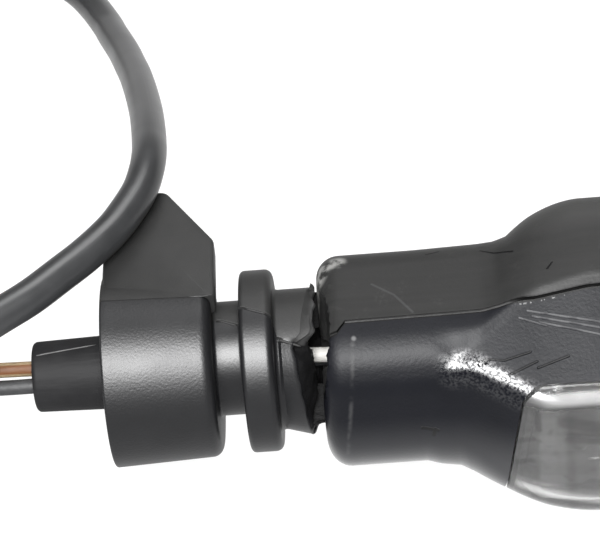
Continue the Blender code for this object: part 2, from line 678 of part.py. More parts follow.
SOCKET_POCKET = rod("socket_pocket", SOCKET_RADIUS + SEAT_GAP, SOCKET_AT - SEAT_GAP,
                    CAP_END + SEAT_GAP, place=BULB_LINE)
combine(housing, SOCKET_POCKET)


# Lens: the front of the same form inside the seat's outline, hollow, with a boss for the screw

lens = head_form("lens", FRONT_FLARE_AT, TIP_END,
                 material=finish("lens_clear", (0.85, 0.87, 0.88), 0.08, alpha=0.3))
combine(lens, front_plate("lens_block", [lens_outline(SEAT_GAP)], FRONT_FAR, LENS_EDGE_Y), "INTERSECT")
lens_core = head_form("lens_core", FRONT_FLARE_AT, TIP_END - LENS_WALL, wall=LENS_WALL)
combine(lens_core, front_plate("lens_core_block", [lens_outline(SEAT_GAP + LENS_WALL)],
                               FRONT_FAR, -SEAT_Y), "INTERSECT")
combine(lens, lens_core)
LENS_BOSS_RADIUS = BOSS_RADIUS - SEAT_GAP
combine(lens, rod("lens_boss", LENS_BOSS_RADIUS, LENS_BOSS_ROOT - HEAD_FRONT, BOSS_END_Y - SEAT_GAP,
                  place=SCREW_LINE, steps=20), "UNION")
combine(lens, rod("lens_pilot", SCREW_BORE, SCREW_HEAD_Y - SCREW_LENGTH - SEAT_GAP, HEAD_REAR,
                  place=SCREW_LINE, steps=20))


# Gasket under the lens's edge

front_plate("lens_gasket", [lens_outline(SEAT_GAP), lens_outline(SEAT_GAP + GASKET_WIDTH)],
            GASKET_Y - GASKET_THICKNESS, GASKET_Y, finish("gasket_foam", (0.02, 0.02, 0.02), 0.9))


# Reflector: flange on the seat and a dish behind it, open for the socket

def reflector_rings():
    """Flange edge and dish mouth on the leaning seat, and the dish's upright bottom."""
    flange, mouth = lens_outline(SEAT_GAP), lens_outline(SEAT_GAP + REFLECTOR_FLANGE)
    (left, right), (low, high) = ((min(c), max(c)) for c in zip(*mouth))
    shrink_u = 1 - 2 * REFLECTOR_SLOPE / (right - left)
    shrink_v = 1 - (REFLECTOR_TOP_DRAFT + REFLECTOR_BOTTOM_DRAFT) / (high - low)
    bottom = [((left + right) / 2 + (u - (left + right) / 2) * shrink_u,
               low + REFLECTOR_BOTTOM_DRAFT + (v - low) * shrink_v) for u, v in mouth]
    front = SEAT_Y - SEAT_GAP - REFLECTOR_WALL
    rings = [[(u, front + LENS_RAKE * (u - LENS_LEFT_BOTTOM), v) for u, v in ring] for ring in (flange, mouth)]
    return rings + [[(u, REFLECTOR_BACK_Y, v) for u, v in bottom]]


def dish(name, rings, wall, material):
    """Open dish of rings closed at its bottom, with a wall on its outside."""
    work = bmesh.new()
    loops = [[work.verts.new(point) for point in ring] for ring in rings]
    for first, second in zip(loops, loops[1:]):
        for i in range(len(first)):
            work.faces.new((first[i - 1], first[i], second[i], second[i - 1]))
    work.faces.new(loops[-1])
    bmesh.ops.recalc_face_normals(work, faces=work.faces)
    mesh = bpy.data.meshes.new(name)
    work.to_mesh(mesh)
    work.free()
    obj = add(name, mesh, material)
    solid = obj.modifiers.new("wall", "SOLIDIFY")
    solid.thickness = wall
    solid.offset = -1.0
    solid.use_even_offset = True
    return smooth(obj)


reflector = dish("reflector", reflector_rings(), REFLECTOR_WALL,
                 finish("reflector_chrome", (0.8, 0.8, 0.8), 0.12, 1.0))
combine(reflector, SOCKET_POCKET)
combine(reflector, rod("boss_way", BOSS_RADIUS + SEAT_GAP, -HEAD_FRONT, HEAD_REAR, place=SCREW_LINE, steps=20))


# Bayonet socket: metal shell with two J slots, insulating base and ground tag

SOCKET_STEEL = finish("socket_steel", (0.6, 0.6, 0.58), 0.35, 1.0)
SLOT_WIDTH = 2 * (PIN_RADIUS + SEAT_GAP)
PIN_X = SOCKET_MOUTH - PIN_FROM_MOUTH
SLOT_TURN = math.radians(30)


def bayonet_slot(name, side):
    """J slot in the shell's wall: entry leg, cross leg and the seat where the pin rests."""
    turned_leg = BULB_LINE @ Matrix.Rotation(side + SLOT_TURN, 4, "Z")
    foot = PIN_X - BULB_PUSH - PIN_RADIUS - SEAT_GAP
    outer = SOCKET_RADIUS + SEAT_GAP
    half = SLOT_WIDTH / 2
    seat = block(name, (0, -half, foot), (outer, half, PIN_X + half),
                 place=BULB_LINE @ Matrix.Rotation(side, 4, "Z"))
    entry = block(name + "_entry", (0, -half, foot), (outer, half, SOCKET_MOUTH + SEAT_GAP), place=turned_leg)
    cross = block(name + "_cross", (0, -half, foot), (outer, half, foot + SLOT_WIDTH),
                  place=BULB_LINE @ Matrix.Rotation(side + SLOT_TURN / 2, 4, "Z"))
    return seat, cross, entry


socket = turned("bulb_socket", [(SOCKET_MOUTH, SOCKET_RADIUS), (SOCKET_AT, SOCKET_RADIUS),
                                (SOCKET_AT, SOCKET_BORE - 2 * SOCKET_WALL),
                                (SOCKET_AT + SOCKET_WALL, SOCKET_BORE - 2 * SOCKET_WALL),
                                (SOCKET_AT + SOCKET_WALL, SOCKET_BORE), (SOCKET_MOUTH, SOCKET_BORE)],
                SOCKET_STEEL, BULB_LINE)
for slot_name, slot_side in (("slot_a", 0.0), ("slot_b", math.pi)):
    for slot_cutter in bayonet_slot(slot_name, slot_side):
        combine(socket, slot_cutter)

turned("socket_base", [(BASE_AT + BASE_THICKNESS, SOCKET_BORE - SEAT_GAP), (BASE_AT, SOCKET_BORE - SEAT_GAP),
                       (BASE_AT, PLUNGER_RADIUS + SEAT_GAP),
                       (BASE_AT + BASE_THICKNESS, PLUNGER_RADIUS + SEAT_GAP)],
       finish("base_phenolic", (0.2, 0.09, 0.04), 0.6), BULB_LINE, 24)

TAG_Z = -SOCKET_BORE + SOCKET_WALL
tag_right = SOCKET_AT - SEAT_GAP
TAG_PLACE = Matrix.Translation((0, BULB_Y, BULB_Z)) @ Matrix.Rotation(TAG_SIDE, 4, "X")
block("ground_tag", (tag_right - TAG_LENGTH, -TAG_WIDTH / 2, TAG_Z - TAG_THICKNESS / 2),
      (tag_right, TAG_WIDTH / 2, TAG_Z + TAG_THICKNESS / 2),
      finish("tag_steel", (0.6, 0.6, 0.58), 0.35, 1.0), TAG_PLACE)


# Contact: plunger through the base, its spring, and the live wire's terminal behind the socket

terminal_right = SOCKET_AT - SEAT_GAP
plunger_tail = terminal_right + BULB_PUSH + SEAT_GAP
plunger_front = PLUNGER_HEAD_AT + PLUNGER_HEAD_LENGTH
turned("contact_plunger", [(plunger_front, 0.0), (plunger_front, PLUNGER_HEAD_RADIUS),
                           (PLUNGER_HEAD_AT, PLUNGER_HEAD_RADIUS), (PLUNGER_HEAD_AT, PLUNGER_RADIUS),
                           (plunger_tail, PLUNGER_RADIUS), (plunger_tail, 0.0)],
       finish("plunger_brass", (0.75, 0.55, 0.25), 0.3, 1.0), BULB_LINE, SMALL_STEPS)


def spring_points():
    mean = PLUNGER_RADIUS + SEAT_GAP + SPRING_WIRE / 2
    rise = SPRING_LENGTH - SPRING_WIRE
    steps = 10 * SPRING_TURNS
    points = []
    for i in range(steps + 1):
        angle = 2 * math.pi * SPRING_TURNS * i / steps
        points.append(Vector((SPRING_AT + SPRING_WIRE / 2 + rise * i / steps,
                              BULB_Y + mean * math.cos(angle), BULB_Z + mean * math.sin(angle))))
    return points


tube("contact_spring", spring_points(), SPRING_WIRE, finish("spring_steel", (0.7, 0.7, 0.7), 0.3, 1.0), 1)
print("least gap of contact_spring, mm:", round(least_gap(spring_points(), SPRING_WIRE, 6) / MM, 2))

terminal_left = terminal_right - TERMINAL_LENGTH
turned("live_terminal", [(terminal_right, 0.0), (terminal_right, TERMINAL_RADIUS),
                         (terminal_left, TERMINAL_RADIUS), (terminal_left, WIRE_DIAMETER / 2 + SEAT_GAP),
                         (terminal_left + TERMINAL_LENGTH / 2, WIRE_DIAMETER / 2 + SEAT_GAP),
                         (terminal_left + TERMINAL_LENGTH / 2, 0.0)],
       finish("terminal_brass", (0.75, 0.55, 0.25), 0.3, 1.0), BULB_LINE, SMALL_STEPS)


# Bulb: cap with two pins, insulating bead, contact, glass and filament

cap = turned("bulb_cap", [(CAP_END, CAP_RADIUS), (CAP_AT, CAP_RADIUS), (CAP_AT, CONTACT_RADIUS + SEAT_GAP),
                          (CAP_AT + CAP_WALL, CONTACT_RADIUS + SEAT_GAP),
                          (CAP_AT + CAP_WALL, CAP_RADIUS - CAP_WALL), (CAP_END, CAP_RADIUS - CAP_WALL)],
             finish("cap_brass", (0.72, 0.66, 0.5), 0.3, 1.0), BULB_LINE)
for pin_name, pin_side in (("pin_a", 0.0), ("pin_b", math.pi)):
    pin_line = BULB_LINE @ Matrix.Rotation(pin_side, 4, "Z") @ Matrix.Translation((0, 0, PIN_X)) @ ALONG_X
    combine(cap, rod(pin_name, PIN_RADIUS, CAP_RADIUS - CAP_WALL, CAP_RADIUS + PIN_REACH,
                     place=pin_line, steps=12), "UNION")

bead_left = CAP_AT + CAP_WALL + SEAT_GAP
turned("bulb_insulator", [(bead_left + BEAD_LENGTH, CAP_RADIUS - CAP_WALL - SEAT_GAP),
                          (bead_left, CAP_RADIUS - CAP_WALL - SEAT_GAP),
                          (bead_left, CONTACT_RADIUS + SEAT_GAP),
                          (bead_left + BEAD_LENGTH, CONTACT_RADIUS + SEAT_GAP)],
       finish("bead_glass", (0.02, 0.02, 0.03), 0.2), BULB_LINE, 24)
contact_back = bead_left + BEAD_LENGTH
turned("bulb_contact", [(contact_back, 0.0), (contact_back, CONTACT_RADIUS), (CONTACT_AT, CONTACT_RADIUS * 0.7),
                        (CONTACT_AT, 0.0)],
       finish("contact_solder", (0.6, 0.6, 0.6), 0.4, 1.0), BULB_LINE, SMALL_STEPS)


def glass_profile():
    """Blown bulb: round globe on a straight neck that is open inside the cap."""
    neck_left = CAP_END - GLASS_SEAT
    centre = CAP_END + GLASS_LENGTH - GLASS_RADIUS

    def globe(radius, neck):
        last = math.pi - math.asin(neck / radius)
        points = [(centre + radius * math.cos(last * i / 10), radius * math.sin(last * i / 10))
                  for i in range(11)]
        return points + [(neck_left, neck)]

    inside = globe(GLASS_RADIUS - GLASS_WALL, GLASS_NECK_RADIUS - GLASS_WALL)
    return globe(GLASS_RADIUS, GLASS_NECK_RADIUS) + inside[::-1]


turned("bulb_glass", glass_profile(), finish("bulb_amber", (0.9, 0.35, 0.03), 0.05, alpha=0.5), BULB_LINE)


def filament_points():
    """Two posts from the bead with a coiled stretch between their tops."""
    left, right = contact_back + SEAT_GAP, CAP_END + FILAMENT_REACH - GLASS_RADIUS / 2
    half = FILAMENT_POST_SPACE / 2
    rise = [Vector((left + (right - left) * i / 4, -half, 0.0)) for i in range(5)]
    coil = []
    for i in range(1, 32):
        angle = 2 * math.pi * i / 8
        coil.append(Vector((right + FILAMENT_COIL_RADIUS * (1 - math.cos(angle)), -half + 2 * half * i / 32,
                            FILAMENT_COIL_RADIUS * math.sin(angle))))
    fall = [Vector((p.x, half, 0.0)) for p in reversed(rise)]
    axis = Vector((0, BULB_Y, BULB_Z))
    return [axis + p for p in rise + coil + fall]


tube("filament", filament_points(), FILAMENT_WIRE, finish("filament_tungsten", (0.5, 0.5, 0.5), 0.4, 1.0), 1)


# Lens screw

turned("lens_screw", [(SCREW_HEAD_Y + SEAT_GAP + SCREW_HEAD_LENGTH, 0.0),
                      (SCREW_HEAD_Y + SEAT_GAP + SCREW_HEAD_LENGTH, SCREW_HEAD_RADIUS * 0.7),
                      (SCREW_HEAD_Y + SEAT_GAP + SCREW_HEAD_LENGTH / 2, SCREW_HEAD_RADIUS),
                      (SCREW_HEAD_Y + SEAT_GAP, SCREW_HEAD_RADIUS), (SCREW_HEAD_Y + SEAT_GAP, SCREW_RADIUS),
                      (SCREW_HEAD_Y - SCREW_LENGTH + SCREW_RADIUS, SCREW_RADIUS),
                      (SCREW_HEAD_Y - SCREW_LENGTH, 0.0)],
       finish("screw_steel", (0.55, 0.55, 0.55), 0.35, 1.0), SCREW_LINE, SMALL_STEPS)


# Two wires through boot, stem and tear, side by side with a quarter turn, then apart to their terminals

LIVE = finish("live_insulation", (0.72, 0.6, 0.42), 0.45)
GROUND = finish("ground_insulation", (0.06, 0.06, 0.065), 0.5)
WIRE_START = math.radians(30)
WIRE_TURN = math.radians(120)


def wire_points(side, end):
    """One wire of the pair: turning with the other up to the cavity, then on and straight into its end."""
    points = []
    for i in range(15):
        x = BOOT_LEFT + (CAVITY_AT - BOOT_LEFT) * i / 14
        points.append(round_the_axis(PAIR_OFFSET, WIRE_START + WIRE_TURN * i / 14 + side, x))
    last, end = points[-1], Vector(end)
    run_in = end.x - last.x - WIRE_DIAMETER
    for i in range(1, 7):
        point = last.lerp(end, ease(i / 6, 0.0, 1.0))
        point.x = last.x + run_in * i / 6
        points.append(point)
    return points + [end]


live_end = (terminal_left + TERMINAL_LENGTH / 2 - SEAT_GAP, BULB_Y, BULB_Z)
ground_end = TAG_PLACE @ Vector((tag_right - TAG_LENGTH - SEAT_GAP, 0, TAG_Z))
tube("live_wire", wire_points(0.0, live_end), WIRE_DIAMETER, LIVE)
tube("ground_wire", wire_points(math.pi, ground_end), WIRE_DIAMETER, GROUND)


# Free leads from the boot to the sheath, turning once round each other

def scaled(route):
    return [Vector(point) * MM for point in route]


def lead_points(side):
    centre = through(scaled(LEAD_ROUTE), TUBE_STEP * WIRE_DIAMETER)
    points = []
    for i, here in enumerate(centre):
        along = (centre[min(i + 1, len(centre) - 1)] - centre[max(i - 1, 0)]).normalized()
        across = along.cross(Vector((0, -math.sin(WIRE_START), math.cos(WIRE_START)))).normalized()
        lift = across.cross(along)
        angle = side + LEAD_TWIST * i / (len(centre) - 1)
        points.append(here + PAIR_OFFSET * (math.cos(angle) * across + math.sin(angle) * lift))
    return points


tube("live_lead", lead_points(0.0), WIRE_DIAMETER, LIVE)
tube("ground_lead", lead_points(math.pi), WIRE_DIAMETER, GROUND)


# Sheath, its end collar, its coil and the tie

SHEATH = finish("sheath_vinyl", (0.05, 0.05, 0.052), 0.4)


def coil_points():
    """Flat spiral of the sheath, turning inwards from the back of the coil, with straight ends."""
    points = [COIL_CENTRE + Vector((SHEATH_DIAMETER, COIL_OUTER, 0))]
    for i in range(COIL_STEPS * COIL_TURNS + 1):
        angle = math.pi / 2 + 2 * math.pi * i / COIL_STEPS
        radius = COIL_OUTER - COIL_PITCH * i / COIL_STEPS
        points.append(COIL_CENTRE + radius * Vector((math.cos(angle), math.sin(angle), 0)))
    return points + [points[-1] - Vector((SHEATH_DIAMETER, 0, 0))]


coil = coil_points()
tube("lead_coil", coil, SHEATH_DIAMETER, SHEATH, 1)
print("least gap of lead_coil, mm:", round(least_gap(coil, SHEATH_DIAMETER, 12) / MM, 2))

sheath_end = coil[0] + Vector((SEAT_GAP, 0, 0))
level_run = sheath_end + Vector((SHEATH_DIAMETER, 0, 0))
sheath = through(scaled(SHEATH_ROUTE) + [level_run], TUBE_STEP * SHEATH_DIAMETER) + [sheath_end]
tube("lead_sheath", sheath, SHEATH_DIAMETER, SHEATH)

collar_along = (sheath[1] - sheath[0]).normalized()
collar_bore = SHEATH_DIAMETER / 2 + SEAT_GAP
collar_half = COLLAR_LENGTH / 2
turned("sheath_collar", [(collar_half, collar_bore + COLLAR_WALL), (-collar_half, collar_bore + COLLAR_WALL),
                         (-collar_half, collar_bore), (collar_half, collar_bore)],
       finish("collar_shrink", (0.025, 0.025, 0.025), 0.5),
       Matrix.Translation(sheath[0]) @ collar_along.to_track_quat("Z", "Y").to_matrix().to_4x4(), 20)


def tie_outline(margin):
    """Flat loop round the coil's turns where the tie sits, as (across the turns, height)."""
    turns_passed = (TIE_ANGLE - math.pi / 2) / (2 * math.pi)
    outer = COIL_OUTER - COIL_PITCH * turns_passed
    inner = outer - COIL_PITCH * (COIL_TURNS - 1)
    reach = SHEATH_DIAMETER / 2 + margin
    low, high = inner - reach, outer + reach
    return [tuple(p) for p in rounded([(low, -reach, reach), (high, -reach, reach), (high, reach, reach),
                                       (low, reach, reach)], 6, 0)]


tie_place = (Matrix.Translation(COIL_CENTRE) @ Matrix.Rotation(TIE_ANGLE, 4, "Z")
             @ Matrix.Rotation(math.pi / 2, 4, "X"))
plate("coil_tie", [tie_outline(SEAT_GAP + TIE_THICKNESS), tie_outline(SEAT_GAP)], TIE_WIDTH,
      finish("tie_vinyl", (0.03, 0.03, 0.03), 0.5), tie_place)


# Wire tails inside the coil, each with its bullet terminal and sleeve

BULLET_BRASS = finish("bullet_brass", (0.78, 0.6, 0.3), 0.3, 1.0)
SLEEVE_VINYL = finish("sleeve_vinyl", (0.75, 0.76, 0.74), 0.3, alpha=0.8)


def tail(name, route, material):
    """Wire from the sheath's end to a bullet terminal that lies along X."""
    places = [COIL_CENTRE + Vector((u, v, 0)) * MM for u, v in route]
    points = through(places, TUBE_STEP * WIRE_DIAMETER)
    tube(name + "_tail", points, WIRE_DIAMETER, material)
    end = points[-1]
    line = Matrix.Translation(end) @ ALONG_X
    crimp = SLEEVE_LENGTH - WIRE_DIAMETER
    nose = crimp + BULLET_LENGTH
    waist = nose - 2.6 * BULLET_RADIUS
    turned(name + "_bullet",
           [(nose, 0.0), (nose, BULLET_RADIUS * 0.5), (nose - BULLET_RADIUS * 0.8, BULLET_RADIUS),
            (waist + BULLET_WAIST, BULLET_RADIUS), (waist, BULLET_CRIMP_RADIUS), (waist - BULLET_WAIST, BULLET_RADIUS),
            (crimp + SEAT_GAP, BULLET_RADIUS), (crimp + SEAT_GAP, BULLET_CRIMP_RADIUS),
            (SEAT_GAP, BULLET_CRIMP_RADIUS), (SEAT_GAP, 0.0)], BULLET_BRASS, line, SMALL_STEPS)
    bore = BULLET_CRIMP_RADIUS + SEAT_GAP
    turned(name + "_sleeve", [(crimp, SLEEVE_RADIUS), (crimp - SLEEVE_LENGTH, SLEEVE_RADIUS - SLEEVE_DRAFT),
                              (crimp - SLEEVE_LENGTH, bore), (crimp, bore)], SLEEVE_VINYL, line, SMALL_STEPS)


tail("live", LIVE_TAIL_ROUTE, LIVE)
tail("ground", GROUND_TAIL_ROUTE, GROUND)
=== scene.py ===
"""Looks of a used motorcycle turn signal: torn rubber stem, scuffed lamp head, clear lens and its lead."""
import math

import bmesh
import bpy
import numpy as np
from mathutils import Matrix, Vector, noise


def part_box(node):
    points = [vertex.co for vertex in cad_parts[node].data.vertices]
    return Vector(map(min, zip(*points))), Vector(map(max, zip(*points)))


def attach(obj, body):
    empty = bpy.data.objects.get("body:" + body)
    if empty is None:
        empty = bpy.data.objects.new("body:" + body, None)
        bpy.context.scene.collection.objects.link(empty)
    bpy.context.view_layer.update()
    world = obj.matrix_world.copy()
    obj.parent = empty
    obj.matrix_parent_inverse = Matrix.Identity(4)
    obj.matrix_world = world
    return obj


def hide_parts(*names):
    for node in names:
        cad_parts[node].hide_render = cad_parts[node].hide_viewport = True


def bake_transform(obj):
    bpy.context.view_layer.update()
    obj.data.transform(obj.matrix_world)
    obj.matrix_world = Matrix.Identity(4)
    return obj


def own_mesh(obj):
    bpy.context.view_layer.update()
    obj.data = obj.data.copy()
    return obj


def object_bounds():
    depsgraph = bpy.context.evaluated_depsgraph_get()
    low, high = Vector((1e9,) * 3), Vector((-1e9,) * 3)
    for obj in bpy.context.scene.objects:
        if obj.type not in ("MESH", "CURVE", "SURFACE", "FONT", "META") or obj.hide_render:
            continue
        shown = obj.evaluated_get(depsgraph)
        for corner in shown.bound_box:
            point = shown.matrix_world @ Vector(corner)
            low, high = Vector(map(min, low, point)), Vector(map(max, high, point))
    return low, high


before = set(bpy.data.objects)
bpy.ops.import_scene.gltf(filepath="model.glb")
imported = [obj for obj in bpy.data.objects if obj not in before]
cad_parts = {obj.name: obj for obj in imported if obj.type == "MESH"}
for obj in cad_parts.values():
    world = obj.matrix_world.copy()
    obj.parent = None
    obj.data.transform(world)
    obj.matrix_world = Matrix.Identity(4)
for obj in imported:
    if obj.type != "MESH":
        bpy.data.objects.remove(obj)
cad_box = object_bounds()

# Studio: the lamp lies on a white table under broad soft light, seen through a long lens from
# above its front edge, with the picture leaning a little to one side.
MM = 0.001
azimuth, elevation, roll = math.radians(3.1), math.radians(44.0), math.radians(-6.39)
aim, distance = Vector((7.14, 7.16, 7.41)) * MM, 370 * MM
back = Vector((math.sin(azimuth) * math.cos(elevation), -math.cos(azimuth) * math.cos(elevation),
               math.sin(elevation)))
level = (-back).cross(Vector((0, 0, 1))).normalized()
upright = level.cross(-back)
right = math.cos(roll) * level + math.sin(roll) * upright
above = math.cos(roll) * upright - math.sin(roll) * level
camera = bpy.data.objects.new("camera", bpy.data.cameras.new("camera"))
camera.data.lens, camera.data.sensor_width, camera.data.clip_start = 189.0, 36.0, 0.01
camera.matrix_world = (Matrix.Translation(aim + distance * back)
                       @ Matrix((right, above, back)).transposed().to_4x4())
bpy.context.collection.objects.link(camera)
bpy.context.scene.camera = camera
bpy.context.scene.view_settings.view_transform = "Standard"

world = bpy.data.worlds.new("studio")
world.use_nodes = True
world.node_tree.nodes["Background"].inputs["Color"].default_value = (1.0, 1.0, 1.0, 1.0)
world.node_tree.nodes["Background"].inputs["Strength"].default_value = 0.3
bpy.context.scene.world = world

# Each light: its name, place, width and height in mm, power in watts, and whether it adds sheen alone
lights = [("key_softbox", (-15, -268, 349), (190, 190), 2.6, False),
          ("key_sheen", (-45, -258, 358), (300, 290), 19.5, True),
          ("rear_softbox", (40, 260, 380), (360, 360), 0.6, False),
          ("rear_sheen", (53, 211, 378), (230, 230), 1.2, True)]
for name, place, (width, height), power, sheen_only in lights:
    lamp = bpy.data.lights.new(name, "AREA")
    lamp.shape, lamp.size, lamp.size_y, lamp.energy = "ELLIPSE", width * MM, height * MM, power
    light = bpy.data.objects.new(name, lamp)
    light.location = Vector(place) * MM
    light.visible_diffuse = not sheen_only
    light.rotation_euler = (aim - light.location).to_track_quat("-Z", "Y").to_euler()
    bpy.context.collection.objects.link(light)

table_half, table_gap = 2.0, 0.02 * MM
table_corners = [(-table_half, -table_half), (table_half, -table_half), (table_half, table_half),
                 (-table_half, table_half)]
floor_z = cad_box[0][2] - table_gap
table_mesh = bpy.data.meshes.new("table")
table_mesh.from_pydata([(x, y, floor_z) for x, y in table_corners], [], [(0, 1, 2, 3)])
table = bpy.data.objects.new("table", table_mesh)
bpy.context.collection.objects.link(table)
white = bpy.data.materials.new("table_white")
white.use_nodes = True
for key, value in {"Base Color": (0.12, 0.12, 0.12, 1.0), "Roughness": 0.7,
                   "Emission Color": (1.0, 1.0, 1.0, 1.0), "Emission Strength": 0.93}.items():
    white.node_tree.nodes["Principled BSDF"].inputs[key].default_value = value
table_mesh.materials.append(white)


# Rubber stem: bush, panel groove, flange and neck in one black moulding, with the flat key tab on top of
# the bush. The bush came out of a sparked mould, so its skin is stippled; the neck's end is torn.
class Signal:
    """A shader socket that takes part in plain arithmetic: every step adds one node to its tree."""

    def __init__(self, tree, socket=None):
        self.tree, self.socket = tree, socket

    def node(self, kind, settings=(), sockets=(), result=0):
        """Add a node, set its settings, then set or link its sockets, and give back one of its outputs."""
        node = self.tree.nodes.new("ShaderNode" + kind)
        for key, value in dict(settings).items():
            setattr(node, key, value)
        for key, value in dict(sockets).items():
            if isinstance(value, Signal):
                self.tree.links.new(value.socket, node.inputs[key])
            elif isinstance(value, tuple) and node.inputs[key].type == "RGBA":
                node.inputs[key].default_value = (*value[:3], 1.0)
            else:
                node.inputs[key].default_value = value
        return Signal(self.tree, node.outputs[result])

    def maths(self, operation, *values):
        return self.node("Math", {"operation": operation}, enumerate(values))

    def act(operation, swapped=False):
        """Method for one kind of arithmetic, with its two sides swapped where the number comes first."""
        return lambda self, other: self.maths(operation, *((other, self) if swapped else (self, other)))

    __add__, __radd__ = act("ADD"), act("ADD", True)
    __sub__, __rsub__ = act("SUBTRACT"), act("SUBTRACT", True)
    __mul__, __rmul__ = act("MULTIPLY"), act("MULTIPLY", True)
    __pow__, least, most = act("POWER"), act("MINIMUM"), act("MAXIMUM")

    def rise(self, low, high, kind="SMOOTHSTEP"):
        """Soft step: 0 up to low, 1 from high on, or falling where high is the lower one."""
        return self.node("MapRange", {"interpolation_type": kind},
                         {"Value": self, "From Min": low, "From Max": high})

    def band(self, start, low, high, stop):
        """Soft band: 0 up to start, 1 from low to high, 0 again from stop on."""
        return self.rise(start, low) * self.rise(stop, high)

    def mix(self, first, second):
        """Colour between two others, with this signal as the share of the second."""
        return self.node("Mix", {"data_type": "RGBA"}, {0: self, 6: first, 7: second}, 2)

    def vector(self, operation, *values, result=0):
        return self.node("VectorMath", {"operation": operation}, enumerate(values), result)

    def grain(self, scale, detail=2.0, roughness=0.5, stretch=(1.0, 1.0, 1.0)):
        """Noise from 0 to 1 over this signal's points, scale in lumps per millimetre."""
        return self.node("TexNoise", (), {"Vector": self.vector("MULTIPLY", self, stretch), "Scale": scale,
                                          "Detail": detail, "Roughness": roughness})

    def axes(self):
        parts = self.node("SeparateXYZ", (), {0: self}).socket.node.outputs
        return [Signal(self.tree, part) for part in parts]

    def strokes(self, paths, width):
        """1 along paths of points, fading to 0 at a width."""
        marks = [self.stroke(a, b, width) for path in paths for a, b in zip(path, path[1:])]
        result = marks[0]
        for mark in marks[1:]:
            result = result.most(mark)
        return result

    def stroke(self, start, stop, width):
        """1 along a straight stroke between two points, fading to 0 at its width."""
        start, stop = Vector(start), Vector(stop)
        run = stop - start
        here = self.vector("SUBTRACT", self, tuple(start))
        share = self.vector("DOT_PRODUCT", here, tuple(run / run.length_squared), result=1)
        share = share.most(0.0).least(1.0)
        foot = self.node("VectorMath", {"operation": "SCALE"}, {0: tuple(run), "Scale": share})
        return self.vector("DISTANCE", here, foot, result=1).rise(width, width * 0.3)


def finish(name, **constants):
    """New material: gives it, its points in millimetres on the piece, and a call that feeds the shader."""
    material = bpy.data.materials.new(name)
    material.use_nodes = True
    tree = material.node_tree
    shader = tree.nodes["Principled BSDF"]
    for key, value in constants.items():
        shader.inputs[key.replace("_", " ")].default_value = value
    start = Signal(tree)
    points = start.node("VectorMath", {"operation": "SCALE"},
                        {0: start.node("TexCoord", result=3), "Scale": 1 / MM})

    def feed(colour=None, roughness=None, height=None, depth=0.1, metallic=None, coat=None):
        """Link what changes over the surface; height is a relief from 0 to 1, depth its size in mm."""
        links = {"Base Color": colour, "Roughness": roughness, "Metallic": metallic, "Coat Weight": coat}
        if height is not None:
            bump = {"Strength": 1.0, "Distance": depth * MM, "Height": height}
            links["Normal"] = start.node("Bump", (), bump)
        for key, signal in links.items():
            if signal is not None:
                tree.links.new(signal.socket, shader.inputs[key])
        return material

    return points, feed


def grey(value):
    return (value, value, value)


def dress(obj, material):
    """Give an object one finished material."""
    obj.data.materials.clear()
    obj.data.materials.append(material)
    return obj


def lofted(name, rows, wrap=False, material=None):
    """Closed skin over rings (metres); wrap joins the last ring to the first. UV: round, along in mm."""
    rows = np.asarray(rows, float)
    count, sides = rows.shape[:2]
    steps = np.linalg.norm(np.diff(rows.mean(axis=1), axis=0), axis=1) / MM
    along = np.concatenate(([0.0], np.cumsum(steps), [0.0]))
    vertices = rows.reshape(-1, 3).tolist()
    faces, places = [], []
    for i in range(count if wrap else count - 1):
        low, high = i * sides, (i + 1) % count * sides
        for j in range(sides):
            k, left, right = (j + 1) % sides, j / sides, (j + 1) / sides
            faces.append((low + j, low + k, high + k, high + j))
            places += [(left, along[i]), (right, along[i]), (right, along[i + 1]), (left, along[i + 1])]
    if not wrap:
        for low, middle in ((0, rows[0].mean(axis=0)), ((count - 1) * sides, rows[-1].mean(axis=0))):
            vertices.append(middle.tolist())
            for j in range(sides):
                faces.append((low + j, low + (j + 1) % sides, len(vertices) - 1))
                places += [(j / sides, 0.0), ((j + 1) / sides, 0.0), (j / sides, 0.0)]
    mesh = bpy.data.meshes.new(name)
    mesh.from_pydata(vertices, [], faces)
    mesh.uv_layers.new(name="round_along").data.foreach_set("uv", np.array(places).ravel())
    obj = bpy.data.objects.new(name, mesh)
    bpy.context.collection.objects.link(obj)
    return cleaned(obj, material)


def cleaned(obj, material=None, crease=40):
    """Weld, turn the faces outwards, and shade smooth up to a crease angle."""
    work = bmesh.new()
    work.from_mesh(obj.data)
    bmesh.ops.remove_doubles(work, verts=work.verts, dist=0.0005 * MM)
    bmesh.ops.dissolve_degenerate(work, edges=work.edges, dist=0.0005 * MM)
    bmesh.ops.recalc_face_normals(work, faces=work.faces)
    work.to_mesh(obj.data)
    work.free()
    obj.data.shade_smooth()
    obj.data.set_sharp_from_angle(angle=math.radians(crease))
    return obj if material is None else dress(obj, material)


def carved(obj, *changes, crease=40):
    """Apply booleans, each an operation and a tool, and throw the tools away."""
    for operation, tool in changes:
        step = obj.modifiers.new(tool.name, "BOOLEAN")
        step.operation, step.object, step.solver = operation, tool, "EXACT"
    evaluated = obj.evaluated_get(bpy.context.evaluated_depsgraph_get())
    mesh = bpy.data.meshes.new_from_object(evaluated)
    obj.modifiers.clear()
    obj.data = mesh
    for _, tool in changes:
        if tool.name in bpy.data.objects:
            bpy.data.objects.remove(tool, do_unlink=True)
    return cleaned(obj, None, crease)


def quarter(x, r, size, start, stop, steps=8):
    """Quarter round of a turned profile: centre, radius and angles from +X outwards, in degrees."""
    angles = np.radians(np.linspace(start, stop, steps + 1))
    return [(x + size * math.cos(angle), r + size * math.sin(angle)) for angle in angles]


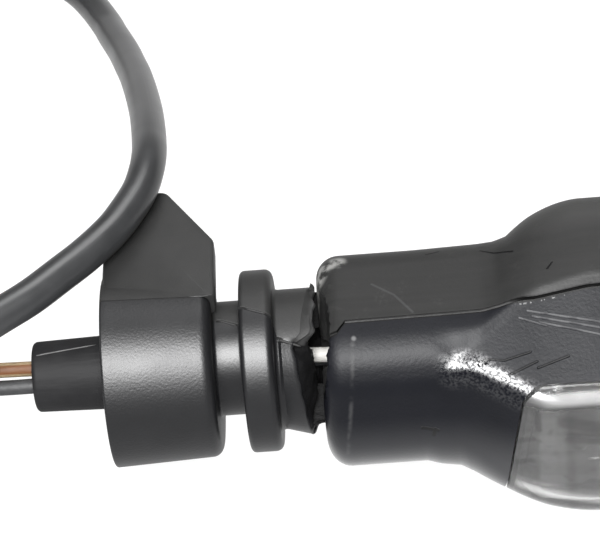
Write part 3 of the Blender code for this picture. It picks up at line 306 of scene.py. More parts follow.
def dense(profile, step):
    """Extra points on the straight runs of a profile, so that no step is longer than this."""
    result = []
    for (x0, r0), (x1, r1) in zip(profile, profile[1:]):
        pieces = max(1, math.ceil(math.hypot(x1 - x0, r1 - r0) / step))
        result += [(x0 + (x1 - x0) * i / pieces, r0 + (r1 - r0) * i / pieces) for i in range(pieces)]
    return result + [profile[-1]]


def rings(profile, sides, centre=(0.0, 0.0)):
    """Rings round the X axis (or a line beside it) for a profile of (x, r) in mm; angle 0 is +Y, then +Z."""
    angles = np.arange(sides) * 2 * math.pi / sides
    x, r = np.array(profile, float).T
    ones = np.ones_like(angles)
    return np.stack([np.outer(x, ones), np.outer(r, np.cos(angles)) + centre[0],
                     np.outer(r, np.sin(angles)) + centre[1]], axis=2) * MM


def lumps(points, size, seed=0.0):
    """Smooth noise from -1 to 1 at points in metres, with lumps of a size in mm."""
    shift = Vector((seed, seed * 1.7, seed * 0.3))
    flat = np.asarray(points).reshape(-1, 3)
    values = [noise.noise(Vector(p) / (size * MM) + shift) for p in flat]
    return np.array(values).reshape(np.asarray(points).shape[:-1])


def seat(obj, body, slot, *nodes):
    """Let a piece ride on a body and stand for CAD nodes, which it hides; slot is not used."""
    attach(obj, body)
    if nodes:
        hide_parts(*nodes)
    return obj


flange_radius, flange_width, flange_left_round, flange_right_round = 10.7, 3.8, 0.6, 0.9
groove_radius, groove_width, groove_round, groove_shift = 6.7, 3.3, 0.4, (0.4, 0.42)
bush_radius, bush_draft, bush_length, bush_round, bush_edge = 11.3, 0.45, 12.7, 1.3, 0.3
bush_right = -groove_width
bush_left = bush_right - bush_length
neck_radius, neck_round, neck_end, pair_bore, bore_end = 8.2, 0.5, 7.0, 2.25, 6.2
boot_socket_radius, boot_socket_depth, boot_socket_round = 3.7, 6.8, 0.3
STEM_SIDES = 256
stem_angles = np.degrees(np.arange(STEM_SIDES) * 2 * math.pi / STEM_SIDES)

# The torn neck, by angle: where its skin ends, how far the rubber under it still reaches, and where the
# tear runs obliquely from the skin into the core instead of leaving a thin strip
lip_x = np.interp(stem_angles, [0, 40, 62, 80, 100, 114, 120, 126, 140, 160, 190, 215, 240, 320],
                  [8.2, 8.25, 7.85, 7.62, 7.2, 6.95, 6.2, 6.0, 6.25, 6.6, 7.0, 7.25, 7.7, 8.3], period=360)
strip_x = np.interp(stem_angles, [0, 40, 67, 93, 112, 127, 140, 160, 198, 240, 320],
                    [8.4, 8.5, 8.58, 8.53, 8.3, 8.17, 8.1, 8.1, 8.2, 8.4, 8.4], period=360)
oblique = np.interp(stem_angles, [10, 110, 124, 300, 340], [0, 0, 1, 1, 0], period=360)
glossy = np.interp(stem_angles, [118, 121, 275, 298], [0, 1, 1, 0])
hollow = np.interp(stem_angles, [118, 121, 150, 200], [0, 0.35, 0.35, 0])
flare_from, flare_run, flare_slope, hollow_from, hollow_ease = 4.4, 3.6, 0.28, 4.2, 0.3


def flared(x):
    """Growth of the neck's radius below its parting line, which widens towards the tear."""
    grown = glossy * flare_slope * np.clip(x - flare_from, 0, flare_run)
    return grown - hollow * np.clip((x - hollow_from) / hollow_ease, 0, 1)


flange_corner, bush_corner = flange_radius - flange_right_round, bush_radius - bush_draft - bush_round
socket_end = bush_left + boot_socket_depth
outer = dense([(neck_end, neck_radius), (flange_width + neck_round, neck_radius)], 0.35)
outer += quarter(flange_width + neck_round, neck_radius + neck_round, neck_round, 270, 180, 5)
outer += quarter(flange_width - flange_right_round, flange_corner, flange_right_round, 0, 90)
outer += quarter(flange_left_round, flange_radius - flange_left_round, flange_left_round, 90, 180)
outer += quarter(-groove_round, groove_radius + groove_round, groove_round, 360, 270, 5)
outer += quarter(bush_right + groove_round, groove_radius + groove_round, groove_round, 270, 180, 5)
outer += quarter(bush_right - bush_round, bush_corner, bush_round, 0, 90)
outer += quarter(bush_left + bush_edge, bush_radius - bush_edge, bush_edge, 90, 180)
outer += quarter(bush_left + boot_socket_round, boot_socket_radius + boot_socket_round, boot_socket_round,
                 180, 270, 3)
outer += [(socket_end, boot_socket_radius), (socket_end, pair_bore), (bore_end, pair_bore)]
stem_rows = rings(dense(outer, 0.6), STEM_SIDES)
stem_x, off_line = stem_rows[..., 0] / MM, np.hypot(stem_rows[..., 1], stem_rows[..., 2]) / MM

groove_catch, skirt_from, skirt_run, skirt_radius, lip_fold, lip_tuck = 0.6, 4.6, 2.4, 8.0, 0.25, 0.12
in_groove = np.abs(stem_x - bush_right / 2) < groove_width / 2
in_groove &= np.abs(off_line - groove_radius) < groove_catch
stem_rows[..., 1:] += in_groove[..., None] * np.array(groove_shift) * MM
skirt = np.clip((stem_x - skirt_from) / skirt_run, 0, 1) * (off_line > skirt_radius)
stem_rows[..., 0] += skirt * (lip_x - neck_end - lip_fold)[None, :] * MM
growth = 1 + (skirt > 0) * np.array([flared(x) for x in stem_rows[..., 0] / MM]) / neck_radius
stem_rows[..., 1:] *= growth[..., None]

# Rings of the torn face from the bore outwards: radius, how far the thin strip lies back from its edge,
# share of the oblique tear, and raggedness; the last two are the lip of the skin itself
tear_rings = [(2.6, 0.9, 0.95, 0.3), (3.4, 1.2, 1.0, 0.3), (4.2, 1.35, 1.0, 0.3), (5.0, 1.25, 0.93, 0.3),
              (5.7, 1.0, 0.8, 0.3), (6.3, 0.7, 0.64, 0.3), (6.8, 0.35, 0.48, 0.3), (7.2, 0.05, 0.34, 0.35),
              (7.5, 0.0, 0.22, 0.4), (7.75, 0.12, 0.12, 0.3), (7.95, 0.4, 0.05, 0.2),
              (8.14, None, 0.0, 0.06), (8.2, None, 0.0, 0.02)]
flare_inside, flare_depth = 6.0, 2.2
spike_at, spike_width, spike_height, spike_inside, spike_outside = 50.0, 3.5, 0.75, 7.4, 8.0
torn_rows = []
for r, lag, share, _ in tear_rings:
    ring = rings([(0.0, r)], STEM_SIDES)[0]
    strip = lip_x if lag is None else strip_x - lag
    ring[:, 0] = (strip + (lip_x + (strip_x - lip_x) * share - strip) * oblique) * MM
    growth = 1 + flared(lip_x) * np.clip((r - flare_inside) / flare_depth, 0, 1) / neck_radius
    if spike_inside < r < spike_outside:
        growth *= 1 + spike_height * np.exp(-((stem_angles - spike_at) / spike_width) ** 2) / r
    ring[:, 1:] *= growth[:, None]
    torn_rows.append(ring)
torn_rows = np.array(torn_rows)
torn_rows[-1, :, 0] -= lip_tuck * MM
ragged = np.array([ring[3] for ring in tear_rings])[:, None]
torn_rows[..., 0] += MM * ragged * (1.2 * lumps(torn_rows, size=1.7, seed=3.0)
                                    + 0.25 * lumps(torn_rows, size=0.7, seed=5.0))
torn_rows[..., 1:] *= (1 + 0.02 * lumps(torn_rows, size=1.3, seed=8.0) * (ragged > 0.1))[..., None]
stem = lofted("stem", np.concatenate((torn_rows, stem_rows)), wrap=True)

tab_width, tab_draft, tab_reach, tab_tip_half, tab_offset, tab_foot = 13.2, 0.08, 18.9, 0.78, 0.4, 0.6
tab_shoulder, tab_foot_round, tab_shoulder_round, tab_tip_round = 10.0, 0.3, 1.4, 2.2
tab_top, tab_thickness = bush_radius - bush_draft, 3.0
tab_middle = (bush_left + bush_right) / 2 + tab_offset


def arms_of(spots, i):
    """Unit directions from one corner to the corners before and after it, and the shorter way to them."""
    arms = spots[i - 1] - spots[i], spots[(i + 1) % len(spots)] - spots[i]
    return arms[0].normalized(), arms[1].normalized(), min(arms[0].length, arms[1].length)


def blunted(corners, steps=10):
    """Closed outline round (x, y, radius) corners, with an arc at each that leaves room for the next."""
    spots = [Vector(c[:2]) for c in corners]
    outline = []
    for i, (_, _, radius) in enumerate(corners):
        before, after, room = arms_of(spots, i)
        half = before.angle(after) / 2
        reach = min(radius / math.tan(half), 0.48 * room)
        size = reach * math.tan(half)
        centre = spots[i] + (before + after).normalized() * (size / math.sin(half))
        first, final = spots[i] + before * reach - centre, spots[i] + after * reach - centre
        turn = first.angle_signed(final)
        outline += [centre + Matrix.Rotation(-turn * k / (steps - 1), 2) @ first for k in range(steps)]
    return np.array([tuple(p) for p in outline])


def tab_ring(inset, z):
    """The tab's house-shaped outline at one level, drawn in by an inset."""
    wide, drawn, tip = tab_width / 2 - inset, tab_width / 2 - tab_draft - inset, tab_reach - inset
    half = [(wide, tab_foot, tab_foot_round), (drawn, tab_shoulder, tab_shoulder_round),
            (tab_tip_half, tip, tab_tip_round)]
    half += [(-across, along, size) for across, along, size in half[::-1]]
    plan = blunted([(tab_middle + across, along, size) for across, along, size in half])
    return np.column_stack((plan, np.full(len(plan), z))) * MM


# The tab's rounded edge, as inset and level from its underside to its top
tab_levels = [(0.5, -tab_thickness), (0.12, -tab_thickness + 0.15), (0.0, -tab_thickness + 0.5),
              (0.0, -0.55), (0.06, -0.3), (0.2, -0.1), (0.4, -0.02), (0.6, 0.0)]
tab = lofted("tab", [tab_ring(inset, tab_top + z) for inset, z in tab_levels])
carved(stem, ("UNION", tab), crease=20)

# Behind the parting line the mould was dull, before it polished under a fine stipple, deepest on the bush
points, feed = finish("stem_rubber", Specular_IOR_Level=0.15)
x, y, z = points.axes()
lean = (0.15 * x.rise(-2.2, 0.25, "LINEAR") + 0.13 * x.rise(0.5, 3.9, "LINEAR")
        + 0.22 * x.rise(3.9, 4.2, "LINEAR") + 0.15 * x.rise(4.2, 7.0, "LINEAR"))
past_line = y + z * lean - 0.5 * x.rise(-3.0, -3.6)
dull_half = past_line.rise(-0.06, 0.06)
left_of_groove = x.rise(-2.9, -3.3)
# Painted shade: the seam over groove, flange and neck and the crease at the tab's foot are painted near
# black.
shaded_seam = past_line.band(-0.24, -0.1, 0.08, 0.2) * x.band(-2.9, -2.6, 4.6, 5.0) * z.rise(3.0, 5.0)
tab_crease_shade = (y - 0.42).band(-0.14, -0.06, 0.06, 0.14) * left_of_groove * z.rise(6.0, 7.0)
on_bush = left_of_groove * (1 - dull_half)
off_axis = (y * y + z * z) ** 0.5
torn_end = off_axis.band(2.2, 2.5, 7.7, 8.0) * x.rise(5.4, 5.8)
cloud, fine = points.grain(0.22, 3.0), points.grain(3.4, 3.0, 0.6)
polished = cloud.mix((0.007, 0.0072, 0.008), (0.013, 0.0132, 0.0145))
dull = points.grain(0.4, 4.0).mix((0.017, 0.017, 0.0168), (0.026, 0.026, 0.0256))
# Painted rim light: flange and neck are painted lighter towards the back, a painted reflection at the edge.
dull = (y.rise(3.5, 9.0) * x.rise(-0.5, 0.0)).mix(dull, grey(0.05))
skin = tab_crease_shade.most(shaded_seam).mix(dull_half.mix(polished, dull), grey(0.002))
# Painted sheen: the torn strip behind the parting line is painted lighter grey in patches, as caught light.
strip = dull_half * off_axis.rise(6.6, 7.2)
torn = (points.grain(0.9, 3.0) * strip).mix((0.006, 0.006, 0.0065), grey(0.1))
roughness = (0.36 + 0.08 * cloud + 0.03 * on_bush + 0.12 * dull_half * (1 - torn_end) + 0.1 * torn_end
             + 0.5 * shaded_seam)
stipple = (0.1 * on_bush + 0.1 * (1 - dull_half)) * points.grain(3.6, 2.0)
relief = stipple - 0.6 * shaded_seam + (0.07 + 0.1 * dull_half) * fine + 0.5 * torn_end * points.grain(1.1, 3.0)
dress(stem, feed(torn_end.mix(skin, torn), roughness, relief, 0.13))
seat(stem, "stem", "stem_rubber", "stem_moulding")


# Cable boot: short strain-relief sleeve of softer rubber pushed into the bush's end. Its two mould halves
# left a pale seam of flash that follows the stem's own parting line round a slight twist.
boot_length, boot_radius, boot_draft, boot_round, boot_shoulder, boot_mouth = 8.6, 4.35, 0.2, 0.6, 0.35, 0.25
boot_plug_radius, boot_plug_depth, boot_gap, boot_stand = 3.4, 6.4, 0.05, 0.3
boot_plug_end, boot_right = bush_left + boot_plug_depth, bush_left - boot_gap
boot_left = bush_left - boot_stand - boot_length
boot_outer = [(boot_plug_end, boot_plug_radius), (boot_right, boot_plug_radius),
              (boot_right, boot_radius - boot_shoulder)]
boot_outer += quarter(boot_right - boot_shoulder, boot_radius - boot_shoulder, boot_shoulder, 0, 90, 4)
boot_outer += quarter(boot_left + boot_round, boot_radius - boot_draft - boot_round, boot_round, 90, 180)
boot_outer += quarter(boot_left + boot_mouth, pair_bore + boot_mouth, boot_mouth, 180, 270, 4)
boot_outer += [(boot_plug_end, pair_bore)]
boot = lofted("boot", rings(dense(boot_outer, 0.4), 128), wrap=True)
points, feed = finish("boot_rubber", Specular_IOR_Level=0.06)
cloud, fine = points.grain(0.4, 3.0), points.grain(4.0, 2.0)
ribbed = points.grain(1.6, 3.0, 0.5, (0.12, 1.0, 1.0))
dress(boot, feed(cloud.mix((0.008, 0.008, 0.009), (0.022, 0.022, 0.023)), 0.58 + 0.14 * cloud,
                 0.2 * fine + ribbed, 0.06))
seat(boot, "stem", "boot_rubber", "cable_boot")


# Mould flash: the thin ridge of rubber where the mould's halves met, which winds a little round boot,
# groove, flange and neck, and the squeezed-out edge where the key tab runs into the bush.
def flash_tree():
    """Geometry Nodes: a bead along each path of edges, thinned out towards its ends."""
    end_share, end_thickness = 0.12, 0.35
    tree = bpy.data.node_groups.new("flash_bead", "GeometryNodeTree")
    for label, kind in (("Path", "Geometry"), ("Radius", "Float"), ("Sides", "Int"), ("Rubber", "Material")):
        tree.interface.new_socket(label, in_out="INPUT", socket_type="NodeSocket" + kind)
    tree.interface.new_socket("Bead", in_out="OUTPUT", socket_type="NodeSocketGeometry")
    given, result, to_curve, share, ends, thin, ring, sweep, realize, paint = (
        tree.nodes.new(kind) for kind in (
            "NodeGroupInput", "NodeGroupOutput", "GeometryNodeMeshToCurve", "GeometryNodeSplineParameter",
            "ShaderNodeMath", "ShaderNodeMapRange", "GeometryNodeCurvePrimitiveCircle",
            "GeometryNodeCurveToMesh", "GeometryNodeRealizeInstances", "GeometryNodeSetMaterial"))
    ends.operation = "PINGPONG"
    ends.inputs[1].default_value = 0.5
    thin.inputs["From Max"].default_value = end_share
    thin.inputs["To Min"].default_value = end_thickness
    sweep.inputs["Fill Caps"].default_value = True
    for start, output, stop, socket in (
            (given, "Path", to_curve, 0), (share, "Factor", ends, 0), (ends, 0, thin, "Value"),
            (given, "Radius", ring, "Radius"), (given, "Sides", ring, "Resolution"),
            (to_curve, 0, sweep, "Curve"), (ring, 0, sweep, "Profile Curve"), (thin, 0, sweep, "Scale"),
            (sweep, 0, realize, 0), (realize, 0, paint, "Geometry"), (given, "Rubber", paint, "Material"),
            (paint, 0, result, 0)):
        tree.links.new(start.outputs[output], stop.inputs[socket])
    return tree


FLASH = flash_tree()


def beads(name, paths, radius, material, body, slot, sides=8):
    """Flash beads along paths of points (mm), as one plain mesh that rides on a body."""
    vertices, edges = [], []
    for path in paths:
        first = len(vertices)
        vertices += [tuple(Vector(p) * MM) for p in path]
        edges += [(i, i + 1) for i in range(first, len(vertices) - 1)]
    mesh = bpy.data.meshes.new(name)
    mesh.from_pydata(vertices, edges, [])
    obj = bpy.data.objects.new(name, mesh)
    bpy.context.collection.objects.link(obj)
    grow = obj.modifiers.new("flash", "NODES")
    grow.node_group = FLASH
    sockets = {item.name: item.identifier for item in FLASH.interface.items_tree if item.in_out == "INPUT"}
    grow[sockets["Radius"]], grow[sockets["Sides"]], grow[sockets["Rubber"]] = radius * MM, sides, material
    obj.data = bpy.data.meshes.new_from_object(obj.evaluated_get(bpy.context.evaluated_depsgraph_get()))
    obj.modifiers.clear()
    obj.data.shade_smooth()
    return seat(obj, body, slot)


def round_path(stations, sink, steps=14):
    """Points on the stem between (x, radius, angle) stations, sunk a little into the skin."""
    xs, rs, angles = np.array(stations, float).T
    at = np.linspace(0, len(xs) - 1, steps)
    index = np.arange(len(xs))
    x, r, a = (np.interp(at, index, values) for values in (xs, rs - sink, np.radians(angles)))
    return np.column_stack((x, r * np.cos(a), r * np.sin(a)))


points, feed = finish("flash_rubber", Specular_IOR_Level=0.15)
dark_flash = feed(points.grain(1.5).mix(grey(0.006), grey(0.02)), 0.6 + 0.2 * points.grain(2.0))
points, feed = finish("flash_pale", Specular_IOR_Level=0.2)
pale_flash = feed(points.grain(1.2).mix(grey(0.05), grey(0.16)), 0.6 + 0.2 * points.grain(2.0))
stem_seams = [round_path([(-2.6, 7.1, 89), (-0.5, 7.1, 97)], 0.05),
              round_path([(0.9, 10.7, 99.5), (3.1, 10.7, 104)], 0.06),
              round_path([(4.4, 8.2, 118.5), (6.9, 8.2, 125)], 0.05)]
boot_seam = round_path([(-24.4, 4.05, 98), (-24.1, 4.2, 97), (-17.2, 4.33, 85)], 0.03)
tab_seam = [(x, 0.62 - 0.02 * (x + 10), tab_top - 0.03)
            for x in np.linspace(bush_left + 0.7, bush_right - 0.05, 24)]
beads("stem_flash", stem_seams, 0.16, dark_flash, "stem", "stem_rubber")
beads("tab_flash", [tab_seam], 0.06, pale_flash, "stem", "stem_rubber")
beads("boot_flash", [boot_seam], 0.09, pale_flash, "stem", "boot_rubber")


# Two wires through boot, stem and tear: stranded copper in soft vinyl, the live one cream with a brown
# stripe, the ground one dark grey. Between the torn neck and the lamp they run across the tear.
wire_diameter, pair_offset, bulb_axis = 1.8, 1.05, (-2.0, -3.8)
wire_start, wire_turn, lead_twist = math.radians(30), math.radians(120), math.radians(150)
cavity_at = 19.0


def even(points, spacing):
    """Even points on a smooth curve through a row of points, all in mm."""
    points = np.array(points, float)
    ends = np.vstack((2 * points[0] - points[1], points, 2 * points[-1] - points[-2]))
    a, b, c, d = ends[:-3, None], ends[1:-2, None], ends[2:-1, None], ends[3:, None]
    t = (np.arange(24) / 24)[None, :, None]
    bent, turned = 2 * a - 5 * b + 4 * c - d, 3 * b - a - 3 * c + d
    curve = b + ((c - a) * t + bent * t ** 2 + turned * t ** 3) / 2
    curve = np.vstack((curve.reshape(-1, 3), points[-1]))
    length = np.concatenate(([0.0], np.cumsum(np.linalg.norm(np.diff(curve, axis=0), axis=1))))
    count = max(2, round(length[-1] / spacing))
    at = np.linspace(0, length[-1], count + 1)
    return np.column_stack([np.interp(at, length, curve[:, i]) for i in range(3)])


def cord_rows(path, diameter, sides=28, start=(0, 0, 1), ends=0.0):
    """Rings along a path (mm) that don't twist, drawn in at both ends by a rounding in mm."""
    along = np.gradient(path, axis=0)
    along /= np.linalg.norm(along, axis=1)[:, None]
    side = np.array(start, float)
    rows = []
    angles = np.arange(sides) * 2 * math.pi / sides
    for here, ahead in zip(path, along):
        side = side - ahead * (side @ ahead)
        side /= np.linalg.norm(side)
        other = np.cross(ahead, side)
        rows.append(here + diameter / 2 * (np.outer(np.cos(angles), side) + np.outer(np.sin(angles), other)))
    rows = np.array(rows)
    if ends:
        shares = [0.55, 0.85]
        first = [path[0] + (rows[0] - path[0]) * s - along[0] * ends * (1 - s) for s in shares]
        final = [path[-1] + (rows[-1] - path[-1]) * s + along[-1] * ends * (1 - s) for s in shares[::-1]]
        rows = np.concatenate((first, rows, final))
    return rows * MM


def inner_wire(side, end):
    """Path of one wire from the boot's mouth to its terminal, round the other as far as the cavity."""
    share = np.linspace(0, 1, 60)
    x = boot_left + (cavity_at - boot_left) * share
    angle = wire_start + wire_turn * share + side
    pair = np.column_stack((x, pair_offset * np.cos(angle), pair_offset * np.sin(angle)))
    run = np.linspace(0, 1, 8)[1:]
    ease = (run * run * (3 - 2 * run))[:, None]
    on = pair[-1] + (np.array(end) - pair[-1]) * ease
    on[:, 0] = pair[-1][0] + (end[0] - wire_diameter - pair[-1][0]) * run
    return even(np.vstack((pair[::3], pair[-1:], on, [end])), 0.6)


def insulation(name, pale, deep, stripe=None):
    """Vinyl insulation: a little mottled and soiled, with a stripe along one side where it has one."""
    points, feed = finish(name, Specular_IOR_Level=0.15)
    dirt = points.grain(0.45, 3.0)
    colour = dirt.mix(pale, deep)
    if stripe is not None:
        along = points.node("UVMap", {"uv_map": "round_along"}).axes()[0]
        colour = along.band(0.66, 0.71, 0.87, 0.92).mix(colour, stripe)
        colour = points.axes()[0].rise(5.0, 7.0).mix(colour, (0.62, 0.61, 0.58))
    return feed(colour, 0.5 + 0.2 * points.grain(1.2), points.grain(1.6, 2.0), 0.05)


LIVE = insulation("live_insulation", (0.4, 0.3, 0.18), (0.29, 0.21, 0.12), (0.16, 0.058, 0.016))
GROUND = insulation("ground_insulation", (0.02, 0.0205, 0.022), (0.05, 0.051, 0.053))
tag_low, tag_high = (np.array(corner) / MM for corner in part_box("ground_tag"))
tag_gap, crimp_depth = 0.2, 1.2
ground_end = (tag_low[0] - tag_gap, *(tag_low + tag_high)[1:] / 2)
live_end = (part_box("live_terminal")[0][0] / MM + crimp_depth, *bulb_axis)
for label, side, end, skin in (("live", 0.0, live_end, LIVE), ("ground", math.pi, ground_end, GROUND)):
    wire = lofted(label + "_through", cord_rows(inner_wire(side, end), wire_diameter, 20), material=skin)
    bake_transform(wire)
    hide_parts(label + "_wire")


# Web: the half of the neck that is not torn through. It was stretched as the neck gave way, so it is
# drawn in between its two ends and its open face is a field of short torn fibres.
web_inside, web_outside, web_left, web_right, web_waist = 3.0, 8.1, 7.5, 10.2, 0.45
sweep = np.linspace(math.radians(204), math.radians(396), 70)
out, back_in = (np.column_stack((np.cos(way), np.sin(way))) for way in (sweep, sweep[::-1]))
web_rows = []
for share in np.linspace(0, 1, 14):
    waist = web_waist * math.sin(math.pi * share)
    ring = np.vstack(((web_outside - waist) * out, (web_inside + waist) * back_in))
    x = np.full(len(ring), web_left + (web_right - web_left) * share)
    web_rows.append(np.column_stack((x, ring)) * MM)
web_rows = np.array(web_rows)
rough = lumps(web_rows, size=1.6, seed=9.0) + 0.4 * lumps(web_rows, size=0.7, seed=4.0)
web_rows[..., 1:] *= (1 + 0.04 * rough)[..., None]
web = lofted("torn_web", web_rows)
points, feed = finish("web_rubber", Specular_IOR_Level=0.03)
fibre = points.grain(2.2, 4.0, 0.6, (0.35, 1.0, 1.0))
dress(web, feed(fibre.mix(grey(0.003), (0.01, 0.01, 0.0105)), 0.5 + 0.2 * fibre, fibre, 0.15))
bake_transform(web)
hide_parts("neck_web")


# Harness: the two wires leave the boot, turn half round each other in a bight and run back under a shrink
# collar into a black vinyl sheath, which crosses the key tab, drops to the table and ends in a tied coil.
lead_route = [
    (-25.2, 0.0, 0.0), (-28.0, 0.0, 0.05), (-31.0, -0.05, 0.2), (-34.0, -0.2, 0.5), (-37.0, -0.7, 1.0),
    (-40.0, -1.6, 1.8), (-42.8, -3.0, 3.0), (-45.0, -4.9, 4.6), (-46.3, -7.2, 6.4), (-46.5, -9.6, 8.3),
    (-45.6, -11.7, 10.1), (-43.9, -13.0, 11.5), (-42.0, -13.0, 12.4), (-40.2, -12.1, 12.8),
    (-38.4, -10.9, 13.0)]
sheath_route = [
    (-38.1, -10.7, 13.05), (-34.5, -8.3, 13.3), (-30.7, -5.9, 13.5), (-27.0, -3.1, 13.6),
    (-23.6, -0.4, 13.6), (-20.3, 2.9, 13.6), (-17.4, 5.9, 13.6), (-14.7, 9.3, 13.6),
    (-13.1, 12.0, 13.6), (-11.3, 16.0, 13.6), (-10.5, 19.7, 13.4), (-10.3, 23.8, 12.4),
    (-10.5, 27.8, 10.9), (-10.9, 32.7, 8.9), (-11.5, 38.4, 6.4), (-12.5, 45.6, 3.2),
    (-13.8, 53.6, -0.5), (-15.0, 59.5, -3.2), (-16.2, 65.1, -5.7), (-18.2, 72.8, -9.0),
    (-19.3, 77.0, -10.6), (-21.6, 83.6, -12.6), (-24.3, 88.6, -13.4), (-29.0, 93.4, -13.4),
    (-35.5, 96.5, -13.0), (-44.0, 97.3, -12.6)]
sheath_diameter, coil_outer, coil_pitch, coil_turns = 4.25, 25.9, 5.4, 2
coil_centre = np.array((-64.5, 71.5, -12.5))


def lead_path(side, spacing):
    """One wire of the pair along the bight, from inside the boot's mouth to inside the collar."""
    centre = even(lead_route, spacing)
    along = np.gradient(centre, axis=0)
    along /= np.linalg.norm(along, axis=1)[:, None]
    across = np.cross(along, (0, -math.sin(wire_start), math.cos(wire_start)))
    across /= np.linalg.norm(across, axis=1)[:, None]
    lift = np.cross(across, along)
    angle = (side + lead_twist * np.linspace(0, 1, len(centre)))[:, None]
    path = centre + pair_offset * (np.cos(angle) * across + np.sin(angle) * lift)
    return np.vstack((path[0] + (0.6, 0, 0), path))


TURN_STEPS = 24
wound = []
for i in range(TURN_STEPS * coil_turns + 1):
    turned = i / TURN_STEPS
    angle, radius = math.pi / 2 + 2 * math.pi * turned, coil_outer - coil_pitch * turned
    wound.append(coil_centre + radius * np.array((math.cos(angle), math.sin(angle), 0)))
straight = np.array((sheath_diameter, 0, 0))
coil_start = coil_centre + (0, coil_outer, 0)
sheath_stations = np.vstack((sheath_route, coil_start + 2 * straight, coil_start + straight, wound,
                             wound[-1] - straight))

collar_bore, collar_half = sheath_diameter / 2, 3.0
collar_at = np.array(sheath_route[0])
collar_way = np.array(sheath_route[1]) - collar_at
# Outline of the collar as (along, over the bore): shrunk on to the sheath, drawn in round the wires
collar_outline = [(collar_half, -0.02), (2.85, 0.35), (2.4, 0.75), (-1.4, 0.7), (-2.6, 0.35),
                  (-collar_half, -0.1), (-2.9, -0.35), (0.0, -0.06)]


def sleeve_rows(profile, place, direction, sides):
    """Rings of a turned profile (along, radius) round a line through a place."""
    turn = Vector(direction).to_track_quat("X", "Z").to_matrix()
    return rings(profile, sides) @ np.array(turn).T + np.array(place) * MM


def mottled(name, first, second, scale, detail, roughness, spread, depth, **constants):
    """Finish with one noise behind its colour, its roughness and its relief."""
    points, feed = finish(name, **constants)
    mottle = points.grain(scale, detail)
    return feed(mottle.mix(first, second), roughness + spread * mottle, mottle, depth)


collar_profile = dense([(along, collar_bore + over) for along, over in collar_outline], 0.35)
SHRINK = mottled("collar_shrink", (0.012, 0.012, 0.013), grey(0.03), scale=1.1, detail=3.0, roughness=0.42,
                 spread=0.2, depth=0.12, Specular_IOR_Level=0.45)
collar = lofted("shrink_collar", sleeve_rows(collar_profile, collar_at, collar_way, 64), wrap=True,
                material=SHRINK)
seat(collar, "stem", "collar_shrink", "sheath_collar")

for label, side, skin in (("live", 0.0, LIVE), ("ground", math.pi, GROUND)):
    path = lead_path(side, 0.7)
    lead = lofted(label + "_bight", cord_rows(path, wire_diameter, 24, (0, 0.5, 0.86)), material=skin)
    seat(lead, "stem", label + "_insulation", label + "_lead")
    shown = lead_path(side, 1.9)

points, feed = finish("sheath_vinyl", Specular_IOR_Level=0.3)
soil = points.grain(0.25, 3.0)
along = points.node("UVMap", {"uv_map": "round_along"})
drawn = along.vector("MULTIPLY", along, (60.0, 0.05, 0.0)).grain(1.0, 2.0)
SHEATH = feed(soil.mix((0.022, 0.0225, 0.0235), (0.045, 0.046, 0.048)), 0.27 + 0.12 * soil,
              drawn + 0.3 * points.grain(2.4), 0.012)
sheath_path = even(sheath_stations, 1.0)
sheath = lofted("harness_sheath", cord_rows(sheath_path, sheath_diameter, 36, ends=0.5), material=SHEATH)
seat(sheath, "stem", "sheath_vinyl", "lead_sheath", "lead_coil")

# Tails: the two wires come out of the sheath's end inside the coil, each crimped in a brass bullet
# terminal with a clear vinyl sleeve. A soft vinyl tie holds the turns of the coil together.
live_tail_route = [(-4.6, 14.05), (-6.1, 13.5), (-7.3, 12.1), (-8.4, 10.2), (-9.0, 8.0), (-9.0, 5.8),
                   (-8.4, 3.9), (-7.2, 2.5), (-5.8, 1.8), (-4.2, 1.6)]
ground_tail_route = [(-4.6, 16.15), (-6.6, 15.6), (-8.4, 14.3), (-10.3, 12.3), (-11.9, 9.6), (-12.8, 6.4),
                     (-13.0, 3.0), (-12.6, -0.2), (-11.0, -2.9), (-8.9, -4.7), (-6.6, -5.4), (-4.2, -5.5)]
tail_start = (1.5, 0, 0)
points, feed = finish("bullet_brass", Specular_IOR_Level=0.5)
tarnish = points.grain(0.7, 4.0)
BULLET = feed(tarnish.mix((0.72, 0.5, 0.2), (0.4, 0.25, 0.1)), 0.24 + 0.3 * tarnish, tarnish, 0.03,
              metallic=1.0 - 0.25 * tarnish.rise(0.55, 0.8))
SLEEVE = mottled("sleeve_vinyl", (0.72, 0.73, 0.7), (0.86, 0.86, 0.84), scale=0.6, detail=3.0,
                 roughness=0.25, spread=0.2, depth=0.05, Transmission_Weight=0.55, IOR=1.5)
crimp, crimp_radius, bullet_radius, bullet_length, sleeve_radius = 7.2, 1.6, 2.0, 9.0, 2.6
waist_half, waist_depth, nose_round, tip_round, sleeve_round = 0.8, 0.42, 1.0, 0.25, 0.25
nose = crimp + bullet_length
waist_at = nose - 2.6 * bullet_radius
bullet_profile = [(0.3, 0.0), (0.3, 1.3), (0.6, crimp_radius), (crimp - 0.2, crimp_radius),
                  (crimp + 0.3, bullet_radius)]
bullet_profile += [(waist_at + s, bullet_radius - waist_depth * math.cos(s * math.pi / 2 / waist_half))
                   for s in np.linspace(-waist_half, waist_half, 11)]
bullet_profile += quarter(nose - 1.6, bullet_radius - nose_round, nose_round, 90, 45, 5)
bullet_profile += [(nose - 0.2, 1.05)] + quarter(nose - tip_round, 0.8, tip_round, 60, 0, 4) + [(nose, 0.0)]
sleeve_profile = [(crimp, 1.75)]
sleeve_profile += quarter(crimp - sleeve_round, sleeve_radius - sleeve_round, sleeve_round, 0, 90, 4)
sleeve_profile += [(0.2, sleeve_radius - 0.1), (-1.0, sleeve_radius - 0.3), (-1.8, 1.6), (-1.8, 1.1),
                   (-0.6, 1.7)]
